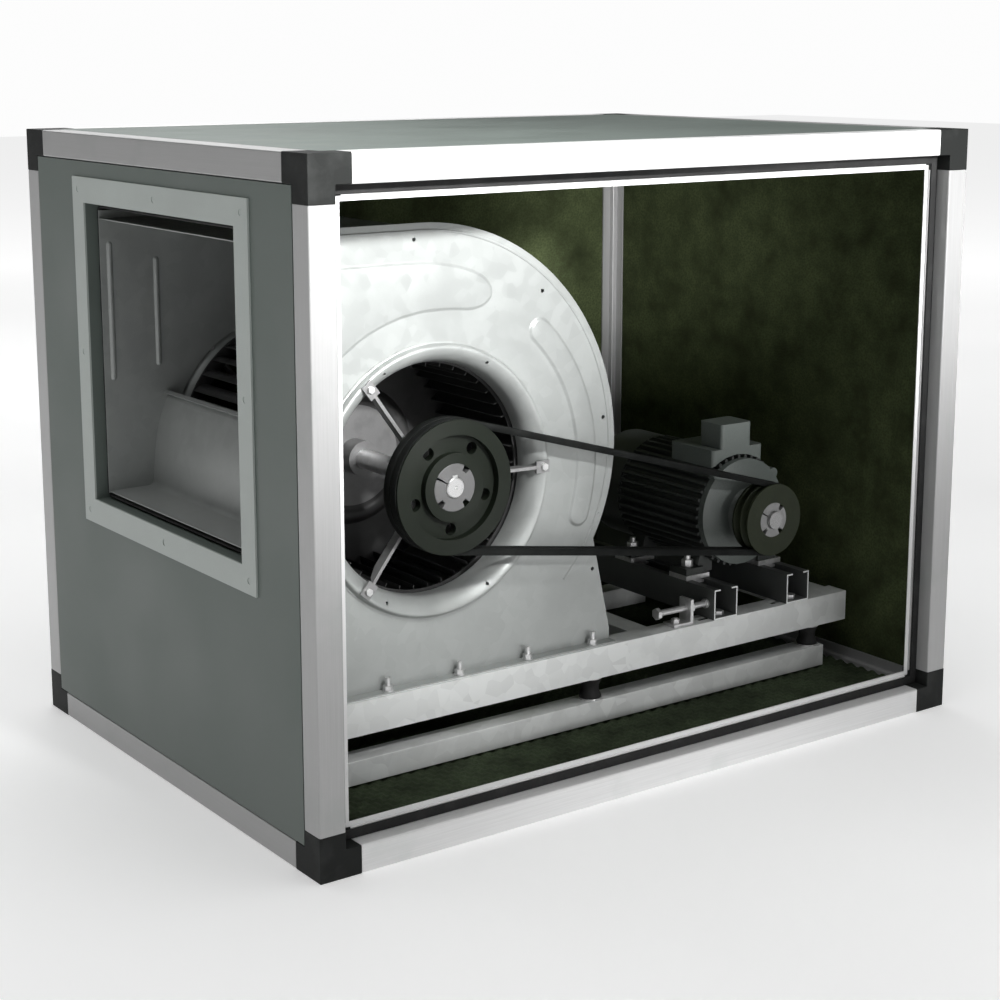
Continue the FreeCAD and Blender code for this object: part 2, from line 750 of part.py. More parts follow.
def blade(y):
    """Forward-curved blade: an arc of sheet between the inner and outer radius."""
    x_in, z_in = polar(BLADE_IN_R, 0, (SHAFT_X, SHAFT_Z))
    x_out, z_out = polar(WHEEL_R - 0.3, 6.2, (SHAFT_X, SHAFT_Z))
    chord = math.hypot(x_out - x_in, z_out - z_in)
    sag = 7.5
    radius = (chord ** 2 / 4 + sag ** 2) / (2 * sag)
    sweep = 2 * math.degrees(math.asin(chord / 2 / radius))
    way = math.degrees(math.atan2(z_out - z_in, x_out - x_in))
    moves = [("turn", radius, sweep)]
    return strip((x_in, z_in), way - sweep / 2, moves, BLADE_SHEET, y)


def wheel():
    low, high = BLOWER_MID - WHEEL_HALF, BLOWER_MID + WHEEL_HALF
    half = WHEEL_SHEET / 2
    disc_y = (BLOWER_MID - half, BLOWER_MID + half)
    save("wheel_centre_disc", tube_y(SHAFT_X, disc_y, SHAFT_Z, WHEEL_R, HUB_R))
    rings = [
        tube_y(SHAFT_X, (low, low + WHEEL_SHEET), SHAFT_Z, WHEEL_R, BLADE_IN_R + 6),
        tube_y(SHAFT_X, (high - WHEEL_SHEET, high), SHAFT_Z, WHEEL_R, BLADE_IN_R + 6),
    ]
    save("wheel_end_rings", group(rings))
    blades = []
    for y in ((low + WHEEL_SHEET, disc_y[0]), (disc_y[1], high - WHEEL_SHEET)):
        first = blade(y)
        for k in range(BLADES):
            one = first.copy()
            one.rotate(vec(SHAFT_X, 0, SHAFT_Z), vec(0, -1, 0), 360 * k / BLADES)
            blades.append(one)
    save("wheel_blades", group(blades))
    boss = rod_y(SHAFT_X, (disc_y[0] - 36, disc_y[1] + 36), SHAFT_Z, HUB_R)
    flange = rod_y(SHAFT_X, (disc_y[0] - 6, disc_y[0]), SHAFT_Z, HUB_FLANGE_R)
    bore = rod_y(SHAFT_X, (disc_y[0] - 40, disc_y[1] + 40), SHAFT_Z, SHAFT_R)
    save("wheel_hub", fused([boss, flange]).cut(bore))


def fan_shaft():
    far = 2 * BLOWER_MID - bearing_y() + 28
    shaft = rod_y(SHAFT_X, (SHAFT_END, far), SHAFT_Z, SHAFT_R)
    return shaft.cut(shaft_key())


def shaft_key():
    low = SHAFT_Z + SHAFT_R - KEY_DEPTH
    return box(
        (SHAFT_X - KEY_WIDTH / 2, SHAFT_X + KEY_WIDTH / 2), (PULLEY_Y, PULLEY_Y + KEY_LENGTH),
        (low, low + KEY_HEIGHT),
    )


def pulley(centre, datum_r, bush_r, hub_r, rim_r):
    """Two-groove V-belt pulley with a recessed web and a taper bore."""
    back = PULLEY_Y + PULLEY_WIDTH
    outer = datum_r + DATUM_HEIGHT
    low = outer - GROOVE_DEPTH
    wide = GROOVE_HALF_WIDTH + DATUM_HEIGHT * GROOVE_SLOPE
    thin = wide - GROOVE_DEPTH * GROOVE_SLOPE
    points = [(bush_r, PULLEY_Y + 1), (hub_r, PULLEY_Y + 1)]
    web = (PULLEY_Y + 12, back - 11)
    if rim_r:
        points += [(hub_r, web[0]), (rim_r, web[0]), (rim_r, PULLEY_Y)]
    points.append((outer, PULLEY_Y))
    for k in range(2):
        mid = PULLEY_Y + GROOVE_EDGE + GROOVE_PITCH * k
        points += [(outer, mid - wide), (low, mid - thin), (low, mid + thin), (outer, mid + wide)]
    points.append((outer, back))
    if rim_r:
        points += [(rim_r, back), (rim_r, web[1]), (hub_r, web[1])]
    points += [(hub_r, back - 2), (bush_r - 2, back - 2)]
    return revolve_y(points, centre), web


def bush(centre, radius, bore, screws):
    """Split taper bush with a hole for each of its screws."""
    y = (PULLEY_Y + 1, PULLEY_Y + PULLEY_WIDTH - 2)
    points = [(bore, y[0]), (radius, y[0]), (radius - 2, y[1]), (bore, y[1])]
    body = revolve_y(points, centre)
    x, z = centre
    split = box((x - 1, x + 1), (y[0] - 1, y[1] + 1), (z - radius - 1, z - bore + 1))
    body = body.cut(split)
    for turn in screws:
        sx, sz = polar((radius + bore) / 2 + 1, turn, centre)
        body = body.cut(rod_y(sx, (y[0] - 1, y[0] + 14), sz, 4.0))
    return body


def rotor():
    wheel()
    save("fan_shaft", fan_shaft())
    save("shaft_key", shaft_key())
    mid = bearing_y()
    inner_r = BEARING_GAP_R - 2 * RUN_CLEAR
    race = tube_y(SHAFT_X, (mid - 8, mid + 8), SHAFT_Z, inner_r, SHAFT_R)
    collar = tube_y(SHAFT_X, (mid + 8, mid + 20), SHAFT_Z, BEARING_GAP_R + 1, SHAFT_R)
    screw = rod_z(SHAFT_X, mid + 14, (SHAFT_Z + SHAFT_R, SHAFT_Z + BEARING_GAP_R + 3), 3.0)
    save("bearing_inner_rings", group(both_sides(fused([race, collar, screw]))))

    centre = (SHAFT_X, SHAFT_Z)
    large, web = pulley(centre, LARGE_DATUM_R, LARGE_BUSH_R, LARGE_HUB_R, LARGE_RIM_R)
    for k in range(5):
        x, z = polar((LARGE_HUB_R + LARGE_RIM_R) / 2, 72 * k + 54, centre)
        large = large.cut(rod_y(x, (web[0] - 1, web[1] + 1), z, LIGHTENING_R))
    save("large_pulley", large)
    large_bush = bush(centre, LARGE_BUSH_R, SHAFT_R, BUSH_SCREWS)
    save("large_bush", large_bush.cut(shaft_key()))


# ---------------------------------------------------------------- belts

def belt(groove):
    """V-belt round both pulleys: two straight runs and two wraps, of one tapered section."""
    mid = PULLEY_Y + GROOVE_EDGE + GROOVE_PITCH * groove
    dx, dz = MOTOR_X - SHAFT_X, MOTOR_Z - SHAFT_Z
    span = math.hypot(dx, dz)
    lean = math.degrees(math.atan2(dz, dx))
    ease = math.degrees(math.asin((LARGE_DATUM_R - SMALL_DATUM_R) / span))
    run = math.sqrt(span ** 2 - (LARGE_DATUM_R - SMALL_DATUM_R) ** 2)
    wide = BELT_HALF_WIDTH + BELT_HIGH * GROOVE_SLOPE
    thin = BELT_HALF_WIDTH - BELT_LOW * GROOVE_SLOPE

    def section(datum_r):
        low, high = datum_r - BELT_LOW + BELT_CLEAR, datum_r + BELT_HIGH
        corners = [
            vec(low, mid - thin, 0), vec(high, mid - wide, 0),
            vec(high, mid + wide, 0), vec(low, mid + thin, 0),
        ]
        return Part.Face(Part.makePolygon(corners + corners[:1]))

    pieces = []
    for x, z, datum_r, start, sweep in (
        (SHAFT_X, SHAFT_Z, LARGE_DATUM_R, 90 - ease, 180 + 2 * ease),
        (MOTOR_X, MOTOR_Z, SMALL_DATUM_R, -90 + ease, 180 - 2 * ease),
    ):
        wrap = section(datum_r).revolve(vec(0, 0, 0), vec(0, -1, 0), sweep)
        wrap.rotate(vec(0, 0, 0), vec(0, -1, 0), start + lean)
        wrap.translate(vec(x, 0, z))
        pieces.append(wrap)
    for turn in (90 - ease, -90 + ease):
        face = section(LARGE_DATUM_R)
        face.rotate(vec(0, 0, 0), vec(0, -1, 0), turn + lean)
        face.translate(vec(SHAFT_X, 0, SHAFT_Z))
        way = turn + lean - math.copysign(90, turn)
        x, z = polar(run, way, (0, 0))
        pieces.append(face.extrude(vec(x, 0, z)))
    return fused(pieces)


# ---------------------------------------------------------------- motor on its carriage

def cross_rail(x):
    """Lipped channel, open upwards, that carries the motor across both base rails."""
    half = CROSS_RAIL / 2
    wall = RAIL_WALL
    low, high = BASE_RAIL_TOP, BASE_RAIL_TOP + CROSS_RAIL
    lip = CROSS_LIP
    points = [
        (x - half, low), (x + half, low), (x + half, high), (x + half - lip, high),
        (x + half - lip, high - wall), (x + half - wall, high - wall),
        (x + half - wall, low + wall), (x - half + wall, low + wall),
        (x - half + wall, high - wall), (x - half + lip, high - wall),
        (x - half + lip, high), (x - half, high),
    ]
    y = (FRONT_RAIL_Y + 1, rear_rail_y() + RAIL_DEPTH - 1)
    rail = polygon_y(points, y)
    for place in clamp_places_y():
        z = (low - 1, low + wall + 1)
        rail = rail.cut(rod_z(x, place, z, 5.3))
    return rail


def clamp_places_y():
    front = FRONT_RAIL_Y + RAIL_DEPTH / 2
    return (front, 2 * BLOWER_MID - front)


def clamp_bolt(x, y):
    low = BASE_RAIL_TOP
    shank = rod_z(x, y, (low - RAIL_WALL - 12, low + RAIL_WALL), 5.0)
    head = polygon_z(hexagon(17, (x, y)), (low + RAIL_WALL, low + RAIL_WALL + 6.4))
    nut = polygon_z(hexagon(17, (x, y)), (low - RAIL_WALL - 9.5, low - RAIL_WALL - 0.5))
    return fused([shank, head, nut])


def motor_frame():
    """Finned cast housing with its four feet."""
    centre = (MOTOR_X, MOTOR_Z)
    step = 360 / MOTOR_FINS
    points = []
    for k in range(MOTOR_FINS):
        for radius, part in (
            (MOTOR_BODY_R, -0.28), (MOTOR_FIN_R, -0.14), (MOTOR_FIN_R, 0.14), (MOTOR_BODY_R, 0.28),
        ):
            points.append(polar(radius, step * (k + part), centre))
    body = polygon_y(points, FRAME_Y)
    base = MOTOR_Z - MOTOR_HEIGHT
    pieces = [body]
    for along in FOOT_HOLES_Y:
        y = MOTOR_FRONT + along
        for side in (-1, 1):
            x = MOTOR_X + side * FOOT_HOLES_X
            pad = box((x - 19, x + 19), (y - 20, y + 20), (base, base + 11))
            foot_x = MOTOR_X + side * 58
            rib = polygon_y(
                [
                    (x - side * 12, base), (x - side * 12, base + 14), (foot_x, base + 62),
                    (foot_x - side * 20, base + 40), (foot_x - side * 20, base),
                ],
                (y - 14, y + 14),
            )
            pieces += [pad, rib]
    whole = fused(pieces)
    whole = whole.cut(rod_y(MOTOR_X, (FRAME_Y[0] - 1, FRAME_Y[1] + 1), MOTOR_Z, MOTOR_BORE_R))
    for x, y in foot_places():
        whole = whole.cut(rod_z(x, y, (base - 1, base + 30), 6.0))
    return whole


def foot_places():
    places = []
    for along in FOOT_HOLES_Y:
        for side in (-1, 1):
            places.append((MOTOR_X + side * FOOT_HOLES_X, MOTOR_FRONT + along))
    return places


def end_shield(y_face, y_frame):
    """Bearing shield: stepped cover with a spigot into the frame and a bearing seat."""
    way = math.copysign(1, y_frame - y_face)
    points = [
        (31.0, y_face + 4 * way), (31.0, y_face), (40.0, y_face), (44.0, y_face + 6 * way),
        (70.0, y_face + 12 * way), (SHIELD_R, y_face + 18 * way), (SHIELD_R, y_frame),
        (MOTOR_BORE_R, y_frame), (MOTOR_BORE_R, y_frame + 5 * way),
        (MOTOR_BORE_R - 5, y_frame + 5 * way), (MOTOR_BORE_R - 5, y_face + 22 * way),
        (42.0, y_face + 14 * way), (42.0, y_face + 20 * way), (31.0, y_face + 20 * way),
    ]
    return revolve_y(points, (MOTOR_X, MOTOR_Z))


def motor_bearing(y):
    return tube_y(MOTOR_X, y, MOTOR_Z, 31.0, 15.0 + RUN_CLEAR)


def shield_lugs(y):
    """Four bolt lugs round the shield's edge."""
    lugs = []
    for k in range(4):
        x, z = polar(SHIELD_R - 1, 40 + 90 * k, (MOTOR_X, MOTOR_Z))
        lugs.append(rod_y(x, y, z, 9.0))
    return lugs


def terminal_box():
    """Low box on the housing, with a narrower raised cover and a cable gland at its side."""
    x = (MOTOR_X - 54, MOTOR_X + 56)
    y = (MOTOR_FRONT + 34, MOTOR_FRONT + 140)
    z = (MOTOR_Z + 70, MOTOR_Z + 105)
    wall = 4.0
    outer = box(x, y, z)
    outer = outer.makeFillet(7, [e for e in outer.Edges if e.Length < 60])
    inner = box(
        (x[0] + wall, x[1] - wall), (y[0] + wall, y[1] - wall), (z[0] + 6, z[1] - wall)
    )
    inner = inner.cut(rod_y(MOTOR_X, y, MOTOR_Z, MOTOR_FIN_R + wall))
    keep_out = rod_y(MOTOR_X, (y[0] - 1, y[1] + 1), MOTOR_Z, MOTOR_FIN_R)
    cover_x = (MOTOR_X - 37, MOTOR_X + 28)
    cover_y = (y[0] - 2, y[0] + 53)
    mouth = box(
        (cover_x[0] + 6, cover_x[1] - 6), (cover_y[0] + 8, cover_y[1] - 6), (z[1] - 6, z[1] + 1)
    )
    y_mid = sum(y) / 2
    z_mid = MOTOR_Z + 88
    gland_hole = rod_x((x[1] - wall - 1, x[1] + 1), y_mid, z_mid, 10.0)
    save("terminal_box", outer.cut(inner).cut(keep_out).cut(mouth).cut(gland_hole))

    cover = box(cover_x, cover_y, (z[1], z[1] + 41))
    cover = cover.makeFillet(6, [e for e in cover.Edges if e.Length < 45])
    hollow = box(
        (cover_x[0] + wall, cover_x[1] - wall), (cover_y[0] + wall, cover_y[1] - wall),
        (z[1] - 1, z[1] + 41 - wall),
    )
    save("terminal_box_lid", cover.cut(hollow))

    barrel = rod_x((x[1] - wall - 1, x[1] + 22), y_mid, z_mid, 9.9)
    nut = polygon_x(hexagon(26, (y_mid, z_mid)), (x[1] + 0.2, x[1] + 8))
    dome = polygon_x(hexagon(24, (y_mid, z_mid)), (x[1] + 9, x[1] + 20))
    cable_hole = rod_x((x[1] - wall - 2, x[1] + 23), y_mid, z_mid, GLAND_BORE_R)
    save("cable_gland", fused([barrel, nut, dome]).cut(cable_hole))


def fan_cowl(start):
    """Pressed cowl over the cooling fan, with a slotted end."""
    y = (start, COWL_END)
    outer = SHIELD_R + 3.2
    cowl = rod_y(MOTOR_X, y, MOTOR_Z, outer)
    end_edges = [e for e in cowl.Edges if abs(e.CenterOfMass.y - COWL_END) < 0.1]
    cowl = cowl.makeFillet(9, end_edges)
    hollow = rod_y(MOTOR_X, (y[0] - 1, y[1] - 2), MOTOR_Z, outer - 2)
    end_edges = [e for e in hollow.Edges if abs(e.CenterOfMass.y - y[1] + 2) < 0.1]
    cowl = cowl.cut(hollow.makeFillet(7, end_edges))
    for radius in (26, 42, 58, 74):
        slot = tube_y(MOTOR_X, (COWL_END - 3, COWL_END + 1), MOTOR_Z, radius + 4, radius - 4)
        bars = [
            box((MOTOR_X - 3, MOTOR_X + 3), (COWL_END - 4, COWL_END + 2),
                (MOTOR_Z - 80, MOTOR_Z + 80)),
            box((MOTOR_X - 80, MOTOR_X + 80), (COWL_END - 4, COWL_END + 2),
                (MOTOR_Z - 3, MOTOR_Z + 3)),
        ]
        cowl = cowl.cut(slot.cut(bars))
    return cowl


def cooling_fan(y):
    hub = rod_y(MOTOR_X, y, MOTOR_Z, 24.0)
    plate = rod_y(MOTOR_X, (y[0], y[0] + 3), MOTOR_Z, 76.0)
    vanes = []
    for k in range(7):
        vane = box((MOTOR_X + 20, MOTOR_X + 76), y, (MOTOR_Z - 1.25, MOTOR_Z + 1.25))
        vane.rotate(vec(MOTOR_X, 0, MOTOR_Z), vec(0, 1, 0), 360 * k / 7)
        vanes.append(vane)
    whole = fused([hub, plate] + vanes)
    return whole.cut(rod_y(MOTOR_X, (y[0] - 1, y[1] + 1), MOTOR_Z, 12.0))


def motor():
    base = MOTOR_Z - MOTOR_HEIGHT
    save("motor_frame", motor_frame())
    front = end_shield(MOTOR_FRONT, FRAME_Y[0])
    lug_y = (FRAME_Y[0] - 12, FRAME_Y[0])
    save("motor_front_shield", fused([front] + shield_lugs(lug_y)))
    rear_face = FRAME_Y[1] + 30
    rear = end_shield(rear_face, FRAME_Y[1])
    save("motor_rear_shield", rear)
    bearings = [
        motor_bearing((MOTOR_FRONT + 4, MOTOR_FRONT + 20)),
        motor_bearing((rear_face - 20, rear_face - 4)),
    ]
    save("motor_bearings", group(bearings))
    core = tube_y(MOTOR_X, (FRAME_Y[0] + 35, FRAME_Y[1] - 35), MOTOR_Z, MOTOR_BORE_R, 45.0)
    winding = tube_y(MOTOR_X, (FRAME_Y[0] + 12, FRAME_Y[1] - 12), MOTOR_Z, 70.0, 48.0)
    save("motor_stator", fused([core, winding]))
    save("motor_fan_cowl", fan_cowl(FRAME_Y[1] + 2))
    terminal_box()

    bolts, packers = [], []
    for x, y in foot_places():
        rail = min(CROSS_RAIL_X, key=lambda r: abs(r - x))
        packer = box((rail - 25, rail + 25), (y - 22, y + 22), (base - PACKER, base))
        low = BASE_RAIL_TOP + CROSS_RAIL - RAIL_WALL
        packers.append(packer.cut(rod_z(x, y, (base - PACKER - 1, base + 1), 5.5)))
        shank = rod_z(x, y, (low - 10, base + 30), 5.0)
        nut = polygon_z(hexagon(17, (x, y)), (base + 13, base + 22))
        washer = rod_z(x, y, (base + 11, base + 13), 10.0)
        t_nut = box((rail - 20, rail + 20), (y - 14, y + 14), (low - 7, low))
        bolts.append(fused([shank, nut, washer, t_nut]))
    save("motor_packers", group(packers))
    save("motor_foot_bolts", group(bolts))

    rails = [cross_rail(x) for x in CROSS_RAIL_X]
    left = CROSS_RAIL_X[0] - CROSS_RAIL / 2
    hole = rod_x((left - 1, left + RAIL_WALL + 1), SCREW_Y, SCREW_Z, SCREW_R + RUN_CLEAR)
    rails[0] = rails[0].cut(hole)
    save("cross_rails", group(rails))
    save("clamp_bolts", group([clamp_bolt(x, y) for x in CROSS_RAIL_X for y in clamp_places_y()]))

    shaft = fused([
        rod_y(MOTOR_X, (MOTOR_FRONT - 60, MOTOR_FRONT), MOTOR_Z, MOTOR_SHAFT_R),
        rod_y(MOTOR_X, (MOTOR_FRONT, rear_face), MOTOR_Z, 15.0),
        rod_y(MOTOR_X, (rear_face, rear_face + 42), MOTOR_Z, 12.0),
    ])
    save("motor_shaft", shaft)
    squirrel_cage = tube_y(MOTOR_X, (FRAME_Y[0] + 28, FRAME_Y[1] - 28), MOTOR_Z, 44.4, 15.0)
    save("motor_rotor_core", squirrel_cage)
    save("motor_cooling_fan", cooling_fan((rear_face + 8, rear_face + 38)))
    centre = (MOTOR_X, MOTOR_Z)
    small, _ = pulley(centre, SMALL_DATUM_R, SMALL_BUSH_R, SMALL_HUB_R, 0)
    save("small_pulley", small)
    save("small_bush", bush(centre, SMALL_BUSH_R, MOTOR_SHAFT_R, BUSH_SCREWS))


def tensioner():
    """Bracket on the front base rail, and the jack screw that sets the motor's place."""
    rail_left = CROSS_RAIL_X[0] - CROSS_RAIL / 2
    plate = (rail_left - 46, rail_left - 40)
    y = (SCREW_Y - 14, SCREW_Y + 14)
    top = BASE_RAIL_TOP
    upright = box(plate, y, (top, SCREW_Z + 16))
    foot = box((plate[0] - 34, plate[1]), y, (top, top + 5))
    boss = polygon_x(hexagon(17, (SCREW_Y, SCREW_Z)), (plate[1], plate[1] + 8))
    bracket = fused([upright, foot, boss])
    bore = rod_x((plate[0] - 1, plate[1] + 9), SCREW_Y, SCREW_Z, SCREW_R + RUN_CLEAR)
    bracket = bracket.cut(bore)
    fixing_x = plate[0] - 20
    fixing = fused([
        rod_z(fixing_x, SCREW_Y, (top + 5, top + 12), 4.0),
        polygon_z(hexagon(13, (fixing_x, SCREW_Y)), (top + 5, top + 10.5)),
    ])
    save("tension_bracket", fused([bracket, fixing]))

    shank = rod_x((plate[0] - 56, rail_left + RAIL_WALL + 8), SCREW_Y, SCREW_Z, SCREW_R)
    head = polygon_x(hexagon(17, (SCREW_Y, SCREW_Z)), (plate[0] - 62, plate[0] - 55))
    collars = [
        rod_x((rail_left - 5.3, rail_left - 0.3), SCREW_Y, SCREW_Z, 8.0),
        rod_x((rail_left + RAIL_WALL + 0.3, rail_left + RAIL_WALL + 5), SCREW_Y, SCREW_Z, 8.0),
    ]
    save("tension_screw", fused([shank, head] + collars))


cabinet()
blower()
rotor()
save("v_belt_front", belt(0))
save("v_belt_rear", belt(1))
motor()
tensioner()
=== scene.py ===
"""Looks for the cabinet fan section: a belt-driven, double-inlet blower in an open-fronted box.

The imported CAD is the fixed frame. Sizes below are millimetres in the drawing's own axes, which
start at the cabinet's lower left front corner; at() turns them into the frame's metres.
"""

import bmesh
import bpy
import json
import math
from mathutils import Matrix, Vector

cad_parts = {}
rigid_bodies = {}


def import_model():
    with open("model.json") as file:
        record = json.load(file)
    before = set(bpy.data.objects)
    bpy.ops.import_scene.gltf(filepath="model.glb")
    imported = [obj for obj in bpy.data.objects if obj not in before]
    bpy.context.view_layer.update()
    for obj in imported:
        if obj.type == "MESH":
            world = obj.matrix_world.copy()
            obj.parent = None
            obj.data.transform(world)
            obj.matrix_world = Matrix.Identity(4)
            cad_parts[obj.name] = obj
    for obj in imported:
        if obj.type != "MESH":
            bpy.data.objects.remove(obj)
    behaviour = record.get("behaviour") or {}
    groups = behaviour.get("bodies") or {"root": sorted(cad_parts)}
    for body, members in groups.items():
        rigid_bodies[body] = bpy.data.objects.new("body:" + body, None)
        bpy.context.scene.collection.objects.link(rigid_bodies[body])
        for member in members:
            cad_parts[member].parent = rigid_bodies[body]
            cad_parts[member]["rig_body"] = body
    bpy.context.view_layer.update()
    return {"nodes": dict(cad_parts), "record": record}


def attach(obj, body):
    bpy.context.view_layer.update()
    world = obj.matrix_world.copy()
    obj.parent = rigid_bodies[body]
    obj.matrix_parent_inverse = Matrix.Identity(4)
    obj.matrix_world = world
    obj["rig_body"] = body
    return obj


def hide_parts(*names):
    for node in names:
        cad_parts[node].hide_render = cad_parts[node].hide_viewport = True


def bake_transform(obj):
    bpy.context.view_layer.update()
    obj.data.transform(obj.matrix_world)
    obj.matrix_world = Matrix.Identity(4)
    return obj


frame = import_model()
nodes = frame["nodes"]

MM = 0.001
CORNER_X, CORNER_Y = 598.5, 435.0      # frame origin, measured from the drawing's corner

WIDTH, DEPTH, HEIGHT = 1200.0, 870.0, 950.0
SHAFT_X, SHAFT_Z, SHAFT_R = 315.0, 464.0, 15.0
MOTOR_X, MOTOR_Z = 940.0, 326.0
FAN_AXIS, MOTOR_AXIS = (SHAFT_X, SHAFT_Z), (MOTOR_X, MOTOR_Z)
PLATE_FRONT, PLATE_REAR = 195.0, 650.0
BLOWER_MID = (PLATE_FRONT + PLATE_REAR) / 2
OPENING_Y = (188.0, 657.0)
OPENING_Z = (393.0, 848.0)
SCROLL_R = (339.0, 288.0, 247.0, 217.0)
SCROLL_TOP = (295.0, 484.0)
WRAP_STRAIGHT, WRAP_STEP = 30, 3        # stations on the scroll's flat top, degrees between others

SENSOR, FOCAL_PER_WIDTH = 36.0, 1.9291
CAMERA_PLACE = (-1196.05, -2048.3, 1078.25)
CAMERA_YAW, CAMERA_PITCH = 0.6275, 0.1917
CAMERA_SHIFT = -0.08

THREADS_OVER_SCALE = 6.28               # thread count over the scale of the wave texture
SMOOTH_BELOW, FLAT_BELOW, HARD_ABOVE = 38.0, 1.0, 30.0      # degrees between two faces


def at(x, y, z):
    """A place in the drawing, in the frame's metres."""
    return Vector(((x - CORNER_X) * MM, (y - CORNER_Y) * MM, z * MM))


def heading(degrees):
    """The (x, z) direction at an angle from x towards z."""
    turn = math.radians(degrees)
    return math.cos(turn), math.sin(turn)


def polar(radius, degrees, centre=FAN_AXIS):
    """The (x, z) at a radius and an angle from a centre."""
    way = heading(degrees)
    return centre[0] + radius * way[0], centre[1] + radius * way[1]


# ---------------------------------------------------------------- materials

class Surface:
    """A node material built up in layers over the Principled shader, in the frame's own space."""

    def __init__(self, name, metallic=0.0, stretch=(1, 1, 1)):
        self.material = bpy.data.materials.new(name)
        self.material.use_nodes = True
        self.tree = self.material.node_tree
        self.tree.nodes.clear()
        self.shader = self.add("ShaderNodeBsdfPrincipled")
        self.shader.inputs["Metallic"].default_value = metallic
        out = self.add("ShaderNodeOutputMaterial")
        self.link(self.shader.outputs[0], out.inputs[0])
        place = self.add("ShaderNodeTexCoord")
        self.space = self.add("ShaderNodeMapping")
        self.space.inputs["Scale"].default_value = stretch
        self.link(place.outputs["Object"], self.space.inputs["Vector"])
        self.raw = place.outputs["Object"]
        self.normal = None

    def add(self, kind):
        return self.tree.nodes.new(kind)

    def link(self, a, b):
        self.tree.links.new(a, b)

    def noise(self, per_metre, detail, plain=False):
        """Soft noise; plain noise isn't stretched along the material's grain."""
        node = self.add("ShaderNodeTexNoise")
        node.inputs["Scale"].default_value = per_metre
        node.inputs["Detail"].default_value = detail
        node.inputs["Roughness"].default_value = 0.55
        self.link(self.raw if plain else self.space.outputs[0], node.inputs["Vector"])
        return node.outputs["Fac"]

    def cells(self, per_metre, output="Distance"):
        """Crystal or pore cells."""
        node = self.add("ShaderNodeTexVoronoi")
        node.inputs["Scale"].default_value = per_metre
        self.link(self.raw, node.inputs["Vector"])
        return node.outputs[output]

    def rings(self, centre, per_metre, distortion):
        """Turning marks round an axis along y through centre (x, z), in frame metres."""
        move = self.add("ShaderNodeMapping")
        move.inputs["Location"].default_value = (-centre[0], 0, -centre[1])
        self.link(self.raw, move.inputs["Vector"])
        wave = self.add("ShaderNodeTexWave")
        wave.wave_type = "RINGS"
        wave.rings_direction = "Y"
        wave.inputs["Scale"].default_value = per_metre
        wave.inputs["Distortion"].default_value = distortion
        wave.inputs["Detail"].default_value = 2.0
        self.link(move.outputs[0], wave.inputs["Vector"])
        return wave.outputs["Fac"]

    def across_y(self):
        """1 where the object's own surface looks along y, 0 where it looks across."""
        place = self.add("ShaderNodeTexCoord")
        split = self.add("ShaderNodeSeparateXYZ")
        self.link(place.outputs["Normal"], split.inputs[0])
        size = self.add("ShaderNodeMath")
        size.operation = "ABSOLUTE"
        self.link(split.outputs["Y"], size.inputs[0])
        return size.outputs[0]

    def ranged(self, value, low, high, start=0.3, end=0.7):
        """A number that runs from low to high as value goes from start to end."""
        node = self.add("ShaderNodeMapRange")
        node.inputs["From Min"].default_value = start
        node.inputs["From Max"].default_value = end
        node.inputs["To Min"].default_value = low
        node.inputs["To Max"].default_value = high
        self.link(value, node.inputs["Value"])
        return node.outputs[0]

    def mixed(self, value, first, second, start=0.3, end=0.7):
        """Colour that runs from first to second as value goes from start to end."""
        node = self.add("ShaderNodeMix")
        node.data_type = "RGBA"
        self.link(self.ranged(value, 0, 1, start, end), node.inputs["Factor"])
        for colour, socket in ((first, node.inputs[6]), (second, node.inputs[7])):
            if isinstance(colour, tuple):
                socket.default_value = (*colour, 1)
            else:
                self.link(colour, socket)
        return node.outputs[2]

    def colour(self, output):
        self.link(output, self.shader.inputs["Base Color"])
        return self

    def roughness(self, value, low, high, start=0.3, end=0.7):
        self.link(self.ranged(value, low, high, start, end), self.shader.inputs["Roughness"])
        return self

    def bump(self, value, depth_mm):
        """Relief on top of any that is there already."""
        node = self.add("ShaderNodeBump")
        node.inputs["Distance"].default_value = depth_mm * MM
        self.link(value, node.inputs["Height"])
        if self.normal:
            self.link(self.normal, node.inputs["Normal"])
        self.normal = node.outputs[0]
        self.link(self.normal, self.shader.inputs["Normal"])
        return self


def grey(value, green=0.0):
    """A grey, with a little green in it."""
    return (value * (1 - green), value, value * (1 - green * 0.55))


def scaled(colour, by, plus=0.0):
    """A colour made darker or lighter."""
    return tuple(min(1, c * by + plus) for c in colour)


def extruded(name, stretch, shade):
    """Satin extruded aluminium with die lines along its length and a few rubbed marks; shade is
    its base tone, which each copy sets lighter or darker as painted light and painted shade.
    """
    s = Surface(name, metallic=0.35, stretch=stretch)
    lines = s.noise(900, 4)
    marks = s.noise(7, 5, plain=True)
    tone = s.mixed(lines, grey(shade * 0.9), grey(shade))
    s.colour(s.mixed(marks, grey(shade * 0.85, 0.03), tone, 0.25, 0.45))
    s.roughness(lines, 0.36, 0.50)
    return s.bump(lines, 0.03).bump(marks, 0.05).material


def painted(name, colour, spread=0.12, grain=1400, depth=0.05, rough=(0.42, 0.58)):
    """Coated sheet: fine grain, uneven tone and a little dust."""
    s = Surface(name)
    fine = s.noise(grain, 2)
    large = s.noise(5.5, 4, plain=True)
    tone = s.mixed(large, scaled(colour, 1 - spread), scaled(colour, 1 + spread))
    s.colour(s.mixed(fine, scaled(colour, 1 - spread * 1.4), tone, 0.25, 0.5))
    s.roughness(large, *rough)
    return s.bump(fine, depth).material


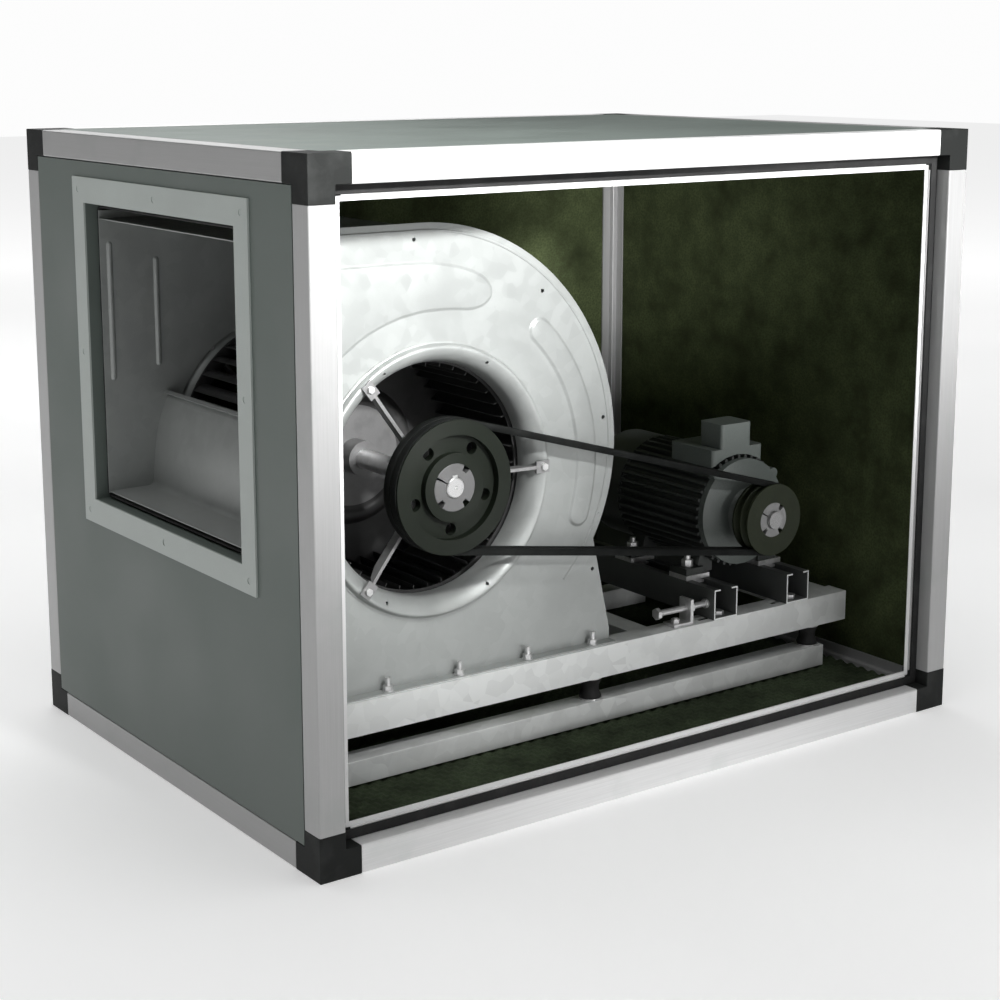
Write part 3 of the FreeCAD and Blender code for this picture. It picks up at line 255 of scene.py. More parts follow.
def galvanised(name, colour, spangle, metallic, rough, spread, ends=None):
    """Zinc coated sheet with spangle crystals, rolling lines and a few dull patches.

    ends is a light colour for the faces that look along y: bare sawn metal, made lighter still as
    painted light where those ends face the lamps.
    """
    s = Surface(name, metallic=metallic, stretch=(1, 1, 6))
    crystal = s.cells(spangle, "Color")
    split = s.add("ShaderNodeSeparateColor")
    s.link(crystal, split.inputs[0])
    facet = split.outputs[0]
    cloud = s.noise(9, 5, plain=True)
    fine = s.noise(700, 3)
    tone = s.mixed(facet, scaled(colour, 1 - spread), scaled(colour, 1 + spread), 0.0, 1.0)
    look = s.mixed(cloud, scaled(colour, 1 - 1.7 * spread), tone, 0.28, 0.5)
    # painted light: the faces that look along y take the light ends colour
    s.colour(s.mixed(s.across_y(), look, ends, 0.85, 0.95) if ends else look)
    s.roughness(facet, *rough, 0.0, 1.0)
    return s.bump(fine, 0.02).bump(cloud, 0.25).material


def turned(name, colour, centre, metallic=0.5, rough=(0.3, 0.45), depth=0.05, per_metre=420,
           shine=0.5):
    """Machined metal with turning marks round its own axis."""
    s = Surface(name, metallic=metallic)
    s.shader.inputs["Specular IOR Level"].default_value = shine
    cx, cz = (centre[0] - CORNER_X) * MM, centre[1] * MM
    marks = s.rings((cx, cz), per_metre, 0.6)
    cloud = s.noise(40, 4)
    tone = s.mixed(marks, scaled(colour, 0.82), colour, 0.1, 0.9)
    s.colour(s.mixed(cloud, scaled(colour, 0.75), tone, 0.3, 0.5))
    s.roughness(marks, *rough, 0.0, 1.0)
    return s.bump(marks, depth).material


def moulded(name, colour, rough=(0.4, 0.55), grain=1800, depth=0.06, shine=0.3):
    """Moulded plastic or rubber with a fine grain and a few worn, lighter places."""
    s = Surface(name)
    s.shader.inputs["Specular IOR Level"].default_value = shine
    fine = s.noise(grain, 2)
    worn = s.noise(22, 5)
    s.colour(s.mixed(worn, colour, scaled(colour, 1.6, 0.01), 0.5, 0.75))
    s.roughness(fine, *rough)
    return s.bump(fine, depth).material


def foam(name, colour, cell=260):
    """Open-cell acoustic foam."""
    s = Surface(name)
    s.shader.inputs["Specular IOR Level"].default_value = 0.12
    pores = s.cells(cell)
    cloud = s.noise(14, 5)
    # painted shade: the pits of the pore cells are darker and their rims lighter
    tone = s.mixed(pores, colour, scaled(colour, 1.7), 0.1, 0.8)
    s.colour(s.mixed(cloud, scaled(colour, 0.6), tone, 0.3, 0.6))
    s.roughness(pores, 0.85, 1.0, 0, 1)
    return s.bump(pores, 0.7).material


def woven(name, colour, per_metre=700, depth=0.25, rough=(0.6, 0.8), shine=0.5):
    """Coated cloth: crossed sets of threads, one across each axis."""
    s = Surface(name)
    s.shader.inputs["Specular IOR Level"].default_value = shine
    height = None
    for direction in ("X", "Y", "Z"):
        wave = s.add("ShaderNodeTexWave")
        wave.bands_direction = direction
        wave.inputs["Scale"].default_value = per_metre / THREADS_OVER_SCALE
        wave.inputs["Distortion"].default_value = 0.4
        s.link(s.raw, wave.inputs["Vector"])
        if height is None:
            height = wave.outputs["Fac"]
        else:
            both = s.add("ShaderNodeMath")
            both.operation = "MULTIPLY_ADD"
            both.inputs[1].default_value = 0.5
            s.link(height, both.inputs[0])
            s.link(wave.outputs["Fac"], both.inputs[2])
            height = both.outputs[0]
    dust = s.noise(30, 4)
    s.colour(s.mixed(dust, colour, scaled(colour, 1.8, 0.003), 0.45, 0.8))
    s.roughness(height, *rough, 0, 2)
    return s.bump(height, depth).material


MATERIALS = {
    # painted shade: the uprights take a darker copy of the one aluminium
    "profile_aluminium": extruded("aluminium_upright_painted_shade", (1, 1, 0.01), 0.48),
    "corner_nylon": moulded("black_nylon", grey(0.013, 0.1), (0.5, 0.65), shine=0.2),
    "panel_steel": painted("panel_coating", grey(0.155, 0.17), 0.07),
    "acoustic_lining": foam("wall_foam", (0.050, 0.063, 0.028)),
    "black_rubber": moulded("black_rubber", grey(0.016), (0.6, 0.75), 900, 0.1),
    "white_strip": painted("white_coating", grey(0.82), 0.04, 1200, 0.03, (0.35, 0.5)),
    "flange_steel": painted("flange_coating", grey(0.52, 0.08), 0.08, 1400, 0.03),
    "galvanised_rail": galvanised("rail_zinc", grey(0.80, 0.02), 45, 0.25, (0.38, 0.55), 0.07),
    "sleeve_fabric": woven("sleeve_cloth", grey(0.012)),
    "galvanised_sheet": galvanised("scroll_zinc", grey(0.40, 0.04), 60, 0.35, (0.36, 0.5), 0.05),
    "zinc_steel": galvanised("bolt_zinc", grey(0.70), 160, 0.75, (0.28, 0.42), 0.1),
    "bearing_steel": turned("bearing_steel", grey(0.62), FAN_AXIS, 0.9, (0.22, 0.32), 0.02),
    "belt_rubber": woven("belt_cloth", grey(0.008, 0.1), 1500, 0.12, (0.7, 0.85), 0.15),
    "wheel_steel": galvanised("wheel_zinc", grey(0.055), 90, 0.4, (0.4, 0.55), 0.1),
    "bright_shaft": turned("shaft_steel", grey(0.72), FAN_AXIS, 0.85, (0.22, 0.34), 0.02, 300),
    "black_iron": turned("pulley_iron", (0.006, 0.009, 0.005), FAN_AXIS, 0.0, (0.45, 0.6), 0.12,
                         260, 0.25),
    "grey_iron": turned("bush_iron", grey(0.15), FAN_AXIS, 0.3, (0.4, 0.55), 0.08, 260, 0.3),
    "motor_paint": painted("motor_enamel", grey(0.13, 0.12), 0.15, 500, 0.12, (0.32, 0.5)),
    "stator_steel": turned("lamination", grey(0.30), MOTOR_AXIS, 0.6, (0.4, 0.55)),
    "fan_plastic": moulded("cooling_fan_plastic", grey(0.05)),
}
# lit and shaded copies of the same aluminium: painted light on the rails along x, painted shade on
# the rails along y
LIT_ALONG_X = extruded("aluminium_along_x_painted_light", (0.01, 1, 1), 0.90)
SHADED_ALONG_Y = extruded("aluminium_along_y_painted_shade", (1, 0.01, 1), 0.45)
MOTOR_PULLEY = turned("motor_pulley_iron", (0.022, 0.028, 0.014), MOTOR_AXIS, 0.0, (0.45, 0.6),
                      0.12, 260, 0.25)
MOTOR_BUSH = turned("motor_bush_iron", grey(0.30), MOTOR_AXIS, 0.3, (0.4, 0.55), 0.08, 260)
MOTOR_SHAFT = turned("motor_shaft_steel", grey(0.34), MOTOR_AXIS, 0.7, (0.22, 0.34), 0.02, 300)
FLOOR_FOAM = foam("floor_foam", (0.034, 0.045, 0.026), 330)
HUB_STEEL = turned("hub_steel", grey(0.19), FAN_AXIS, 0.3, (0.35, 0.5), 0.05, 200)
# painted shade: a darker copy of the motor enamel for the motor's frame, rear shield and fan cowl,
# which lie in shade behind the blower
SHADED_HOUSING = painted("housing_enamel_painted_shade", grey(0.045, 0.10), 0.2, 500, 0.12, (0.4, 0.55))
BOX_ENAMEL = painted("box_enamel", grey(0.15, 0.12), 0.12, 500, 0.12, (0.32, 0.5))
TRIPOD_ZINC = galvanised("tripod_zinc", grey(0.30), 160, 0.5, (0.32, 0.46), 0.1)
# painted shade: the cross rails' zinc is dark where their sides lie in shade, with light ends as
# painted light
CROSS_RAIL_PAINTED_SHADE = galvanised("cross_rail_zinc_painted_shade", grey(0.13, 0.05), 45, 0.35, (0.42, 0.58), 0.08,
                        (0.85, 0.87, 0.86))
SPECIAL = {
    "terminal_box": BOX_ENAMEL,
    "terminal_box_lid": BOX_ENAMEL,
    "bearing_tripods": TRIPOD_ZINC,
    "cross_rails": CROSS_RAIL_PAINTED_SHADE,
    "wheel_hub": HUB_STEEL,
    "motor_frame": SHADED_HOUSING,
    "motor_rear_shield": SHADED_HOUSING,
    "motor_fan_cowl": SHADED_HOUSING,
    "frame_long_rails": LIT_ALONG_X,
    "frame_cross_rails": SHADED_ALONG_Y,
    "small_pulley": MOTOR_PULLEY,
    "small_bush": MOTOR_BUSH,
    "motor_shaft": MOTOR_SHAFT,
    "motor_bearings": MOTOR_SHAFT,
}

slots = {part["node"]: part["material_slot"] for part in frame["record"]["subparts"]}


def material_of(node):
    """The finish of a CAD node: its own one, or its slot's."""
    return SPECIAL.get(node) or MATERIALS[slots[node]]


for node, cad in nodes.items():
    if not cad.material_slots:
        cad.data.materials.append(None)
    for entry in cad.material_slots:
        entry.material = material_of(node)


# ---------------------------------------------------------------- mesh tools

def placed(name, data):
    """A new object in the scene."""
    obj = bpy.data.objects.new(name, data)
    bpy.context.scene.collection.objects.link(obj)
    return obj


def meshed(name, verts, faces, gap):
    """A new mesh object; corners within gap metres are joined and its faces turned outwards."""
    mesh = bpy.data.meshes.new(name)
    mesh.from_pydata([tuple(v) for v in verts], [], faces)
    work = bmesh.new()
    work.from_mesh(mesh)
    bmesh.ops.remove_doubles(work, verts=work.verts, dist=gap)
    bmesh.ops.recalc_face_normals(work, faces=work.faces)
    work.to_mesh(mesh)
    work.free()
    return placed(name, mesh)


def apply_modifiers(obj):
    """Makes an object's modified shape its own."""
    shaped = obj.evaluated_get(bpy.context.evaluated_depsgraph_get())
    mesh = bpy.data.meshes.new_from_object(shaped)
    obj.modifiers.clear()
    obj.data = mesh


def loop_faces(count, n, closed=True):
    """Faces between count loops of n corners; closed joins the last loop to the first."""
    faces = []
    for k in range(count if closed else count - 1):
        j = (k + 1) % count
        for i in range(n):
            i2 = (i + 1) % n
            faces.append((k * n + i, k * n + i2, j * n + i2, j * n + i))
    return faces


def piece(name, verts, faces, node, body=None, stands_for=(), sharp=SMOOTH_BELOW, material=None):
    """A new visible mesh with the finish of a CAD node; it rides on that node's body."""
    obj = meshed(name, verts, faces, 1e-6)
    finish_piece(obj, node, body, stands_for, sharp, material)
    return obj


def finish_piece(obj, node, body=None, stands_for=(), sharp=SMOOTH_BELOW, material=None):
    """Gives a mesh its material, its shading and the body it rides on."""
    mesh = obj.data
    mesh.materials.clear()
    mesh.materials.append(material or material_of(node))
    mesh.polygons.foreach_set("use_smooth", [True] * len(mesh.polygons))
    mesh.set_sharp_from_angle(angle=math.radians(sharp))
    if stands_for:
        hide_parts(*stands_for)
    if body != "blend":
        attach(obj, body or nodes[node]["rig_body"])


def refined(node, width, segments=2, rejoin=True):
    """The CAD shape with every hard edge softened, its flat faces rejoined first.

    Thin sheet keeps its triangles, because a narrow ring is a face that can't be filled well.
    """
    mesh = nodes[node].data.copy()
    mesh.name = node + "_edged"
    work = bmesh.new()
    work.from_mesh(mesh)
    bmesh.ops.remove_doubles(work, verts=work.verts, dist=2e-6)
    if rejoin:
        bmesh.ops.dissolve_limit(
            work, angle_limit=math.radians(FLAT_BELOW), verts=work.verts, edges=work.edges
        )
    hard = [
        e for e in work.edges
        if len(e.link_faces) == 2 and e.calc_face_angle(0) > math.radians(HARD_ABOVE)
    ]
    bmesh.ops.bevel(
        work, geom=hard, offset=width * MM, segments=segments, profile=0.5,
        affect="EDGES", clamp_overlap=True, miter_outer="ARC",
    )
    bmesh.ops.recalc_face_normals(work, faces=work.faces)
    work.to_mesh(mesh)
    work.free()
    obj = placed(node + "_edged", mesh)
    finish_piece(obj, node, stands_for=[node])
    flatten_shading(obj)
    return obj


def flatten_shading(obj):
    """Keeps large faces flat, so that only the rounded edges shade smoothly."""
    weigh = obj.modifiers.new("weigh", "WEIGHTED_NORMAL")
    weigh.weight = 100
    weigh.keep_sharp = True
    apply_modifiers(obj)


def lathe(profile, centre, steps=144, axis="y"):
    """A closed profile of (radius, along) turned about an axis through centre."""
    verts = []
    for k in range(steps):
        a = 2 * math.pi * k / steps
        for r, along in profile:
            place = [centre[0] + r * math.cos(a), centre[1] + r * math.sin(a)]
            place.insert("xyz".index(axis), along)
            verts.append(at(*place))
    return verts, loop_faces(steps, len(profile))


def joined(*parts):
    """Several (verts, faces) as one."""
    verts, faces = [], []
    for v, f in parts:
        base = len(verts)
        verts += list(v)
        faces += [tuple(i + base for i in face) for face in f]
    return verts, faces


def mirrored_y(verts, faces):
    """The same shape on the other side of the blower's middle."""
    plane = (BLOWER_MID - CORNER_Y) * MM
    return [Vector((v[0], 2 * plane - v[1], v[2])) for v in verts], faces


def eased(points, per_span):
    """Catmull-Rom curve through points."""
    out = []
    n = len(points)
    for i in range(n - 1):
        a, b, c, d = (Vector(points[min(max(i + k, 0), n - 1)]) for k in (-1, 0, 1, 2))
        for s in range(per_span):
            t = s / per_span
            out.append(0.5 * (
                2 * b + (c - a) * t + (2 * a - 5 * b + 4 * c - d) * t ** 2
                + (3 * b - a - 3 * c + d) * t ** 3
            ))
    out.append(Vector(points[-1]))
    return [tuple(p) for p in out]


def thick_profile(points, sheet):
    """Closed outline of a bent sheet, from one side of it given as (radius, y)."""
    near, far = [], []
    for i, p in enumerate(points):
        before, after = points[max(i - 1, 0)], points[min(i + 1, len(points) - 1)]
        way = (Vector(after) - Vector(before)).normalized()
        near.append((p[0], p[1]))
        far.append((p[0] - way.y * sheet, p[1] + way.x * sheet))
    return near + far[::-1]


def chamfered(points, size):
    """Closed profile with each corner cut to a small double chamfer."""
    out = []
    n = len(points)
    for i in range(n):
        p, a, b = (Vector(points[k % n]) for k in (i, i - 1, i + 1))
        cut = min(size, (a - p).length * 0.45, (b - p).length * 0.45)
        first, last = p + (a - p).normalized() * cut, p + (b - p).normalized() * cut
        middle = (first + last + 2 * p) / 4
        out += [tuple(first), tuple(middle), tuple(last)]
    return out


def pressed(outline, y, height, run):
    """A raised, round-edged field pressed out of a sheet; outline is a loop of (x, z).

    The field starts just inside the sheet at y and rises over run to its height.
    """
    steps, sunk = 5, 0.4
    loops = [[(p[0], y + sunk, p[1]) for p in outline]]
    n = len(outline)
    normals = []
    for i in range(n):
        a, b = Vector(outline[i - 1]), Vector(outline[(i + 1) % n])
        way = (b - a).normalized()
        normals.append(Vector((-way.y, way.x)))
    area = sum(
        outline[i - 1][0] * outline[i][1] - outline[i][0] * outline[i - 1][1] for i in range(n)
    )
    inward = 1 if area > 0 else -1
    for k in range(steps + 1):
        t = k / steps
        rise = t * t * (3 - 2 * t)
        loops.append([
            (p[0] + inward * m.x * run * t, y - height * rise,
             p[1] + inward * m.y * run * t)
            for p, m in zip(outline, normals)
        ])
    verts = [at(*p) for loop in loops for p in loop]
    faces = loop_faces(len(loops), n, closed=False)
    last = (steps + 1) * n
    for i in range(n // 2 - 1):
        strip = (i, i + 1, n - 2 - i, n - 1 - i)
        faces.append(tuple(last + k for k in strip))
        faces.append(strip[::-1])
    if n % 2:
        tip = (n // 2 - 1, n // 2, n // 2 + 1)
        faces.append(tuple(last + k for k in tip))
        faces.append(tip[::-1])
    return verts, faces


def arc_points(radius, start, end, count):
    """Evenly spaced (x, z) along an arc round the fan's axis."""
    step = (end - start) / (count - 1)
    return [polar(radius, start + step * k) for k in range(count)]


def swept(path, section, closed=True):
    """Sweeps a loop of (out, y) offsets along (x, z) stations that each carry an outward way."""
    verts = []
    n, count = len(section), len(path)
    for (x, z), (ox, oz) in path:
        for out, y in section:
            verts.append(at(x + ox * out, y, z + oz * out))
    faces = loop_faces(count, n, closed)
    if not closed:
        faces.append(tuple(range(n)))
        faces.append(tuple((count - 1) * n + i for i in range(n))[::-1])
    return verts, faces


# ---------------------------------------------------------------- camera, light and floor

def studio():
    """Camera, backdrop, lamps and a pale floor."""
    camera = placed("camera", bpy.data.cameras.new("camera"))
    bpy.context.scene.camera = camera
    camera.data.sensor_width = SENSOR
    camera.data.lens = SENSOR * FOCAL_PER_WIDTH
    camera.data.shift_y = CAMERA_SHIFT
    camera.data.clip_start, camera.data.clip_end = 0.05, 60.0
    camera.location = at(*CAMERA_PLACE)
    camera.rotation_euler = (math.pi / 2 - CAMERA_PITCH, 0, -CAMERA_YAW)

    world = bpy.data.worlds.new("studio")
    bpy.context.scene.world = world
    bpy.context.scene.view_settings.view_transform = "Standard"
    world.use_nodes = True
    tree = world.node_tree
    # the world lights the scene dimly, and looks white behind it
    light_side = tree.nodes["Background"]
    light_side.inputs[0].default_value = (0.94, 0.96, 0.95, 1)
    light_side.inputs[1].default_value = 0.04
    seen_side = tree.nodes.new("ShaderNodeBackground")
    seen_side.inputs[0].default_value = (0.98, 0.98, 0.98, 1)
    seen_side.inputs[1].default_value = 1.0
    path = tree.nodes.new("ShaderNodeLightPath")
    both = tree.nodes.new("ShaderNodeMixShader")
    tree.links.new(path.outputs["Is Camera Ray"], both.inputs[0])
    tree.links.new(light_side.outputs[0], both.inputs[1])
    tree.links.new(seen_side.outputs[0], both.inputs[2])
    tree.links.new(both.outputs[0], tree.nodes["World Output"].inputs[0])

    def light(kind, name, place, aim, power):
        source = placed(name, bpy.data.lights.new(name, kind))
        source.data.energy = power
        source.location = place
        way = Vector(aim) - Vector(place)
        source.rotation_euler = way.to_track_quat("-Z", "Y").to_euler()
        return source.data

    def lamp(name, place, aim, size, power):
        data = light("AREA", name, place, aim, power)
        data.shape = "RECTANGLE"
        data.size, data.size_y = size

    def spot(name, place, aim, cone, soft, power):
        data = light("SPOT", name, place, aim, power)
        data.spot_size = math.radians(cone)
        data.spot_blend = 1.0
        data.shadow_soft_size = soft

    lamp("ceiling", (0.0, 0.0, 6.0), (0.0, 0.0, 0.0), (10.0, 10.0), 310)
    lamp("softbox_top", (0.1, -1.0, 3.2), (0.0, -0.5, 0.0), (2.4, 1.4), 10)
    lamp("softbox_front", (0.5, -3.6, 0.8), (0.2, 0.0, 0.4), (3.0, 1.4), 8)
    lamp("softbox_left", (-3.0, -1.2, 4.2), (-0.4, 0.0, 0.5), (1.4, 1.4), 8)
    lamp("softbox_rear", (0.6, 3.6, 3.2), (0.0, 0.0, 0.6), (2.5, 1.6), 40)
    spot("beam", (-0.05, -4.2, 2.5), (-0.36, -0.24, 0.98), 19, 0.20, 2000)
    spot("beam_right", (0.9, -3.5, 1.6), (0.50, 0.35, 0.66), 16, 0.20, 800)
    spot("beam_corner", (-1.2, -3.4, 1.0), (0.58, 0.415, 0.72), 9, 0.10, 470)
    spot("beam_low", (0.05, -4.2, 0.3), (0.05, -0.43, -0.02), 14, 0.20, 150)
    spot("beam_ring", (-0.30, -1.9, 2.2), (-0.29, -0.24, 0.30), 13, 0.12, 125)

    floor = Surface("floor_paper")
    cloud = floor.noise(1.2, 3)
    floor.colour(floor.mixed(cloud, grey(0.86), grey(0.90)))
    floor.roughness(cloud, 0.6, 0.75)
    away = floor.add("ShaderNodeVectorMath")
    away.operation = "LENGTH"
    floor.link(floor.raw, away.inputs[0])
    # the floor glows more with distance, so that no horizon shows
    glow = floor.ranged(away.outputs["Value"], 0.30, 0.82, 2.0, 7.0)
    floor.shader.inputs["Emission Color"].default_value = (1, 1, 1, 1)
    floor.link(glow, floor.shader.inputs["Emission Strength"])
    bpy.ops.mesh.primitive_plane_add(size=40, location=(0, 0, 0))
    ground = bpy.context.object
    ground.name = "floor"
    ground.data.materials.append(floor.material)


studio()

# ---------------------------------------------------------------- cabinet

refined("corner_blocks", 1.6, 3)
refined("duct_flange", 0.6)
refined("front_landing_frame", 0.6)
for node in ("discharge_panel", "top_panel", "rear_panel", "right_panel", "bottom_panel"):
    refined(node, 0.35, rejoin=False)
refined("front_gasket", 0.9)
refined("floor_rails", 1.0)


def foam_floor():
    """Floor lining of convoluted foam, with rows of rounded peaks."""
    pitch, per_pitch, low, high = 12.0, 4, 40.0, 46.0
    inset, skirt = 58.0, 31.0
    x0, x1, y0, y1 = inset, WIDTH - inset, inset, DEPTH - inset
    nx = int((x1 - x0) / pitch) * per_pitch
    ny = int((y1 - y0) / pitch) * per_pitch
    verts = []
    for j in range(ny + 1):
        for i in range(nx + 1):
            x = x0 + (x1 - x0) * i / nx
            y = y0 + (y1 - y0) * j / ny
            wave = math.sin(math.pi * i / per_pitch) * math.sin(math.pi * j / per_pitch)
            edge = i in (0, nx) or j in (0, ny)
            z = (low + high) / 2 + (high - low) / 2 * wave
            verts.append(at(x, y, skirt if edge else z))
    faces = []
    row = nx + 1
    for j in range(ny):
        for i in range(nx):
            k = j * row + i
            faces.append((k, k + 1, k + row + 1, k + row))
    rim = list(range(nx + 1))
    rim += [j * row + nx for j in range(1, ny + 1)]
    rim += [ny * row + i for i in range(nx - 1, -1, -1)]
    rim += [j * row for j in range(ny - 1, 0, -1)]
    faces.append(tuple(rim[::-1]))
    made = piece("floor_foam", verts, faces, "floor_mat", stands_for=["floor_mat"], sharp=180,
                 material=FLOOR_FOAM)


foam_floor()


def grid_lines(low, high, cell, stops=()):
    """Evenly spaced values from low to high that also stop at each given value."""
    marks = [low, *sorted(stops), high]
    lines = []
    for a, b in zip(marks, marks[1:]):
        count = max(1, round((b - a) / cell))
        lines += [a + (b - a) * k / count for k in range(count)]
    return lines + [high]


def foam_slab(axis, face, back, first, second, hole=None):
    """A foam slab across an axis, dimpled on its face and flat behind, with an optional hole."""
    relief, pitch = 3.0, 34.0
    margin, rounding, skin = 14.0, 1.5, 0.2
    us = grid_lines(*first, pitch / 3, hole[0] if hole else ())
    vs = grid_lines(*second, pitch / 3, hole[1] if hole else ())
    inward = math.copysign(1, face - back)

    def point(u, v, depth):
        """The slab's own (u, v) at a depth along its axis."""
        place = [u, v]
        place.insert(axis, depth)
        return at(*place)

    def inside(u, v):
        return hole and hole[0][0] < u < hole[0][1] and hole[1][0] < v < hole[1][1]

    verts, faces = [], []
    row = len(us)
    for v in vs:
        for u in us:
            edge = min(u - first[0], first[1] - u, v - second[0], second[1] - v)
            if hole:
                out_u = max(hole[0][0] - u, u - hole[0][1], 0)
                out_v = max(hole[1][0] - v, v - hole[1][1], 0)
                edge = min(edge, math.hypot(out_u, out_v))
            fade = min(1.0, edge / margin)
            wave = math.cos(2 * math.pi * u / pitch) * math.cos(2 * math.pi * v / pitch)
            sink = relief * (0.5 - 0.5 * wave) * fade + rounding * (1 - fade) ** 2
            verts.append(point(u, v, face - inward * (skin + sink)))
    size = len(verts)
    verts += [point(u, v, back) for v in vs for u in us]
    border = {}
    for j in range(len(vs) - 1):
        for i in range(row - 1):
            if inside((us[i] + us[i + 1]) / 2, (vs[j] + vs[j + 1]) / 2):
                continue
            k = j * row + i
            quad = (k, k + 1, k + row + 1, k + row)
            faces.append(quad)
            faces.append(tuple(q + size for q in quad[::-1]))
            for a, b in zip(quad, quad[1:] + quad[:1]):
                if (b, a) in border:
                    del border[(b, a)]
                else:
                    border[(a, b)] = True
    faces += [(b, a, a + size, b + size) for a, b in border]
    return verts, faces


def wall_foam():
    """The lining of each panel."""
    inset, face, back, gap = 42.2, 27.5, 1.2, 1.2
    x, y, z = (inset, WIDTH - inset), (inset, DEPTH - inset), (inset, HEIGHT - inset)
    hole = ((OPENING_Y[0] - gap, OPENING_Y[1] + gap), (OPENING_Z[0] - gap, OPENING_Z[1] + gap))
    slabs = joined(
        foam_slab(2, HEIGHT - face, HEIGHT - back, x, y),
        foam_slab(2, face, back, x, y),
        foam_slab(1, DEPTH - face, DEPTH - back, x, z),
        foam_slab(0, WIDTH - face, WIDTH - back, y, z),
        foam_slab(0, face, back, y, z, hole),
    )
    made = piece("wall_foam", *slabs, "panel_insulation", stands_for=["panel_insulation"],
                 sharp=70)


wall_foam()


def screw_head(centre, along, radius, height):
    """Low domed head on the discharge side; along is the x it sits at."""
    dome = [(0, along + 0.5), (radius, along + 0.5), (radius, along - height * 0.35)]
    for k in range(1, 6):
        t = k / 5 * math.pi / 2
        dome.append((radius * math.cos(t), along - height * (0.35 + 0.65 * math.sin(t))))
    return lathe(dome, centre, 28, "x")


def duct_screws():
    """Plugs in the eight bolt holes of the duct flange."""
    out, face, radius, height = 19.0, -0.9, 5.2, 1.6
    ys = (OPENING_Y[0] - out, sum(OPENING_Y) / 2, OPENING_Y[1] + out)
    zs = (OPENING_Z[0] - out, sum(OPENING_Z) / 2, OPENING_Z[1] + out)
    heads = [
        screw_head((y, z), face, radius, height)
        for y in ys for z in zs if (y, z) != (ys[1], zs[1])
    ]
    piece("duct_plugs", *joined(*heads), "duct_flange")


duct_screws()


def sleeve():
    """Coated cloth between the outlet and the panel, bulging a little outwards."""
    corner, spacing, bulge = 9.0, 14.0, 3.0
    root, reach, thickness, inner_bulge = 24.8, 7.4, 1.1, 0.6
    side_gap, low_gap, top_gap = 3.4, 4.6, 6
    y0, y1 = OPENING_Y[0] + side_gap, OPENING_Y[1] - side_gap
    z0, z1 = OPENING_Z[0] + low_gap, OPENING_Z[1] - top_gap
    loop = []
    for cy, cz, turn in (
        (y1 - corner, z1 - corner, 0), (y0 + corner, z1 - corner, 90),
        (y0 + corner, z0 + corner, 180), (y1 - corner, z0 + corner, 270),
    ):
        for k in range(7):
            way = heading(turn + 15 * k)
            loop.append(((cy + corner * way[0], cz + corner * way[1]), way))
    dense = []
    for i, (p, n) in enumerate(loop):
        q, m = loop[(i + 1) % len(loop)]
        parts = max(1, int(math.dist(p, q) / spacing))
        for k in range(parts):
            t = k / parts
            dense.append((
                (p[0] + (q[0] - p[0]) * t, p[1] + (q[1] - p[1]) * t),
                (n[0] + (m[0] - n[0]) * t, n[1] + (m[1] - n[1]) * t),
            ))
    across = 9
    section = []
    for k in range(across):
        a = math.pi * k / (across - 1)
        section.append((bulge * math.cos(a), root - reach * math.sin(a)))
    section += [(out * inner_bulge, x + thickness) for out, x in section[::-1]]
    verts = []
    for s, ((y, z), (ny, nz)) in enumerate(dense):
        crease = 0.35 * math.sin(s * 1.7) + 0.25 * math.sin(s * 0.63)
        for k, (out, x) in enumerate(section):
            soft = crease * math.sin(math.pi * (k % across) / (across - 1))
            verts.append(at(x + soft, y + ny * out, z + nz * out))
    faces = loop_faces(len(dense), len(section))
    made = piece("sleeve_cloth", verts, faces, "flexible_sleeve", body="blend",
                 stands_for=["flexible_sleeve"], sharp=180)
    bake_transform(made)


sleeve()


def isolators():
    """Rubber mounts with bonded steel washers, seen between the two rails."""
    low, high = 84.2, 115.8
    hole, rim, thick, chamfer = 0.001, 19, 2.2, 0.4
    side = [(17.2, low), (17.6, 87), (16.6, 90), (14.4, 95), (13.6, 100), (14.4, 105),
            (16.6, 110), (17.6, 113), (17.2, high)]
    rubber = [(0, low)] + eased(side, 3) + [(0, high)]
    bodies, plates = [], []
    for x in (130.0, 600.0, 1070.0):
        for y in (190.0, 655.0):
            bodies.append(lathe(rubber, (x, y), 40, "z"))
            for z in (82.2, 115.6):
                disc = [(hole, z), (rim, z), (rim, z + thick), (hole, z + thick)]
                plates.append(lathe(chamfered(disc, chamfer), (x, y), 40, "z"))
    made = piece("isolator_rubber", *joined(*bodies), "isolators", body="blend",
                 stands_for=["isolators"], sharp=60)
    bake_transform(made)
    washers = piece("isolator_washers", *joined(*plates), "isolators", body="blend",
                    material=MATERIALS["zinc_steel"])
    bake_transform(washers)


isolators()

# ---------------------------------------------------------------- blower

for node in ("base_rails", "base_cross_ties", "bearing_tripods", "foot_bolts", "tripod_bolts",
             "tension_bracket"):
    refined(node, 0.7)


def drilled(obj, holes):
    """Cuts closed plugs, given as (verts, faces), out of a piece."""
    cutter = meshed("cutter", *holes, 1e-7)
    cut = obj.modifiers.new("cut", "BOOLEAN")
    cut.operation, cut.solver, cut.object = "DIFFERENCE", "EXACT", cutter
    apply_modifiers(obj)
    obj.data.set_sharp_from_angle(angle=math.radians(50.0))
    bpy.data.objects.remove(cutter)


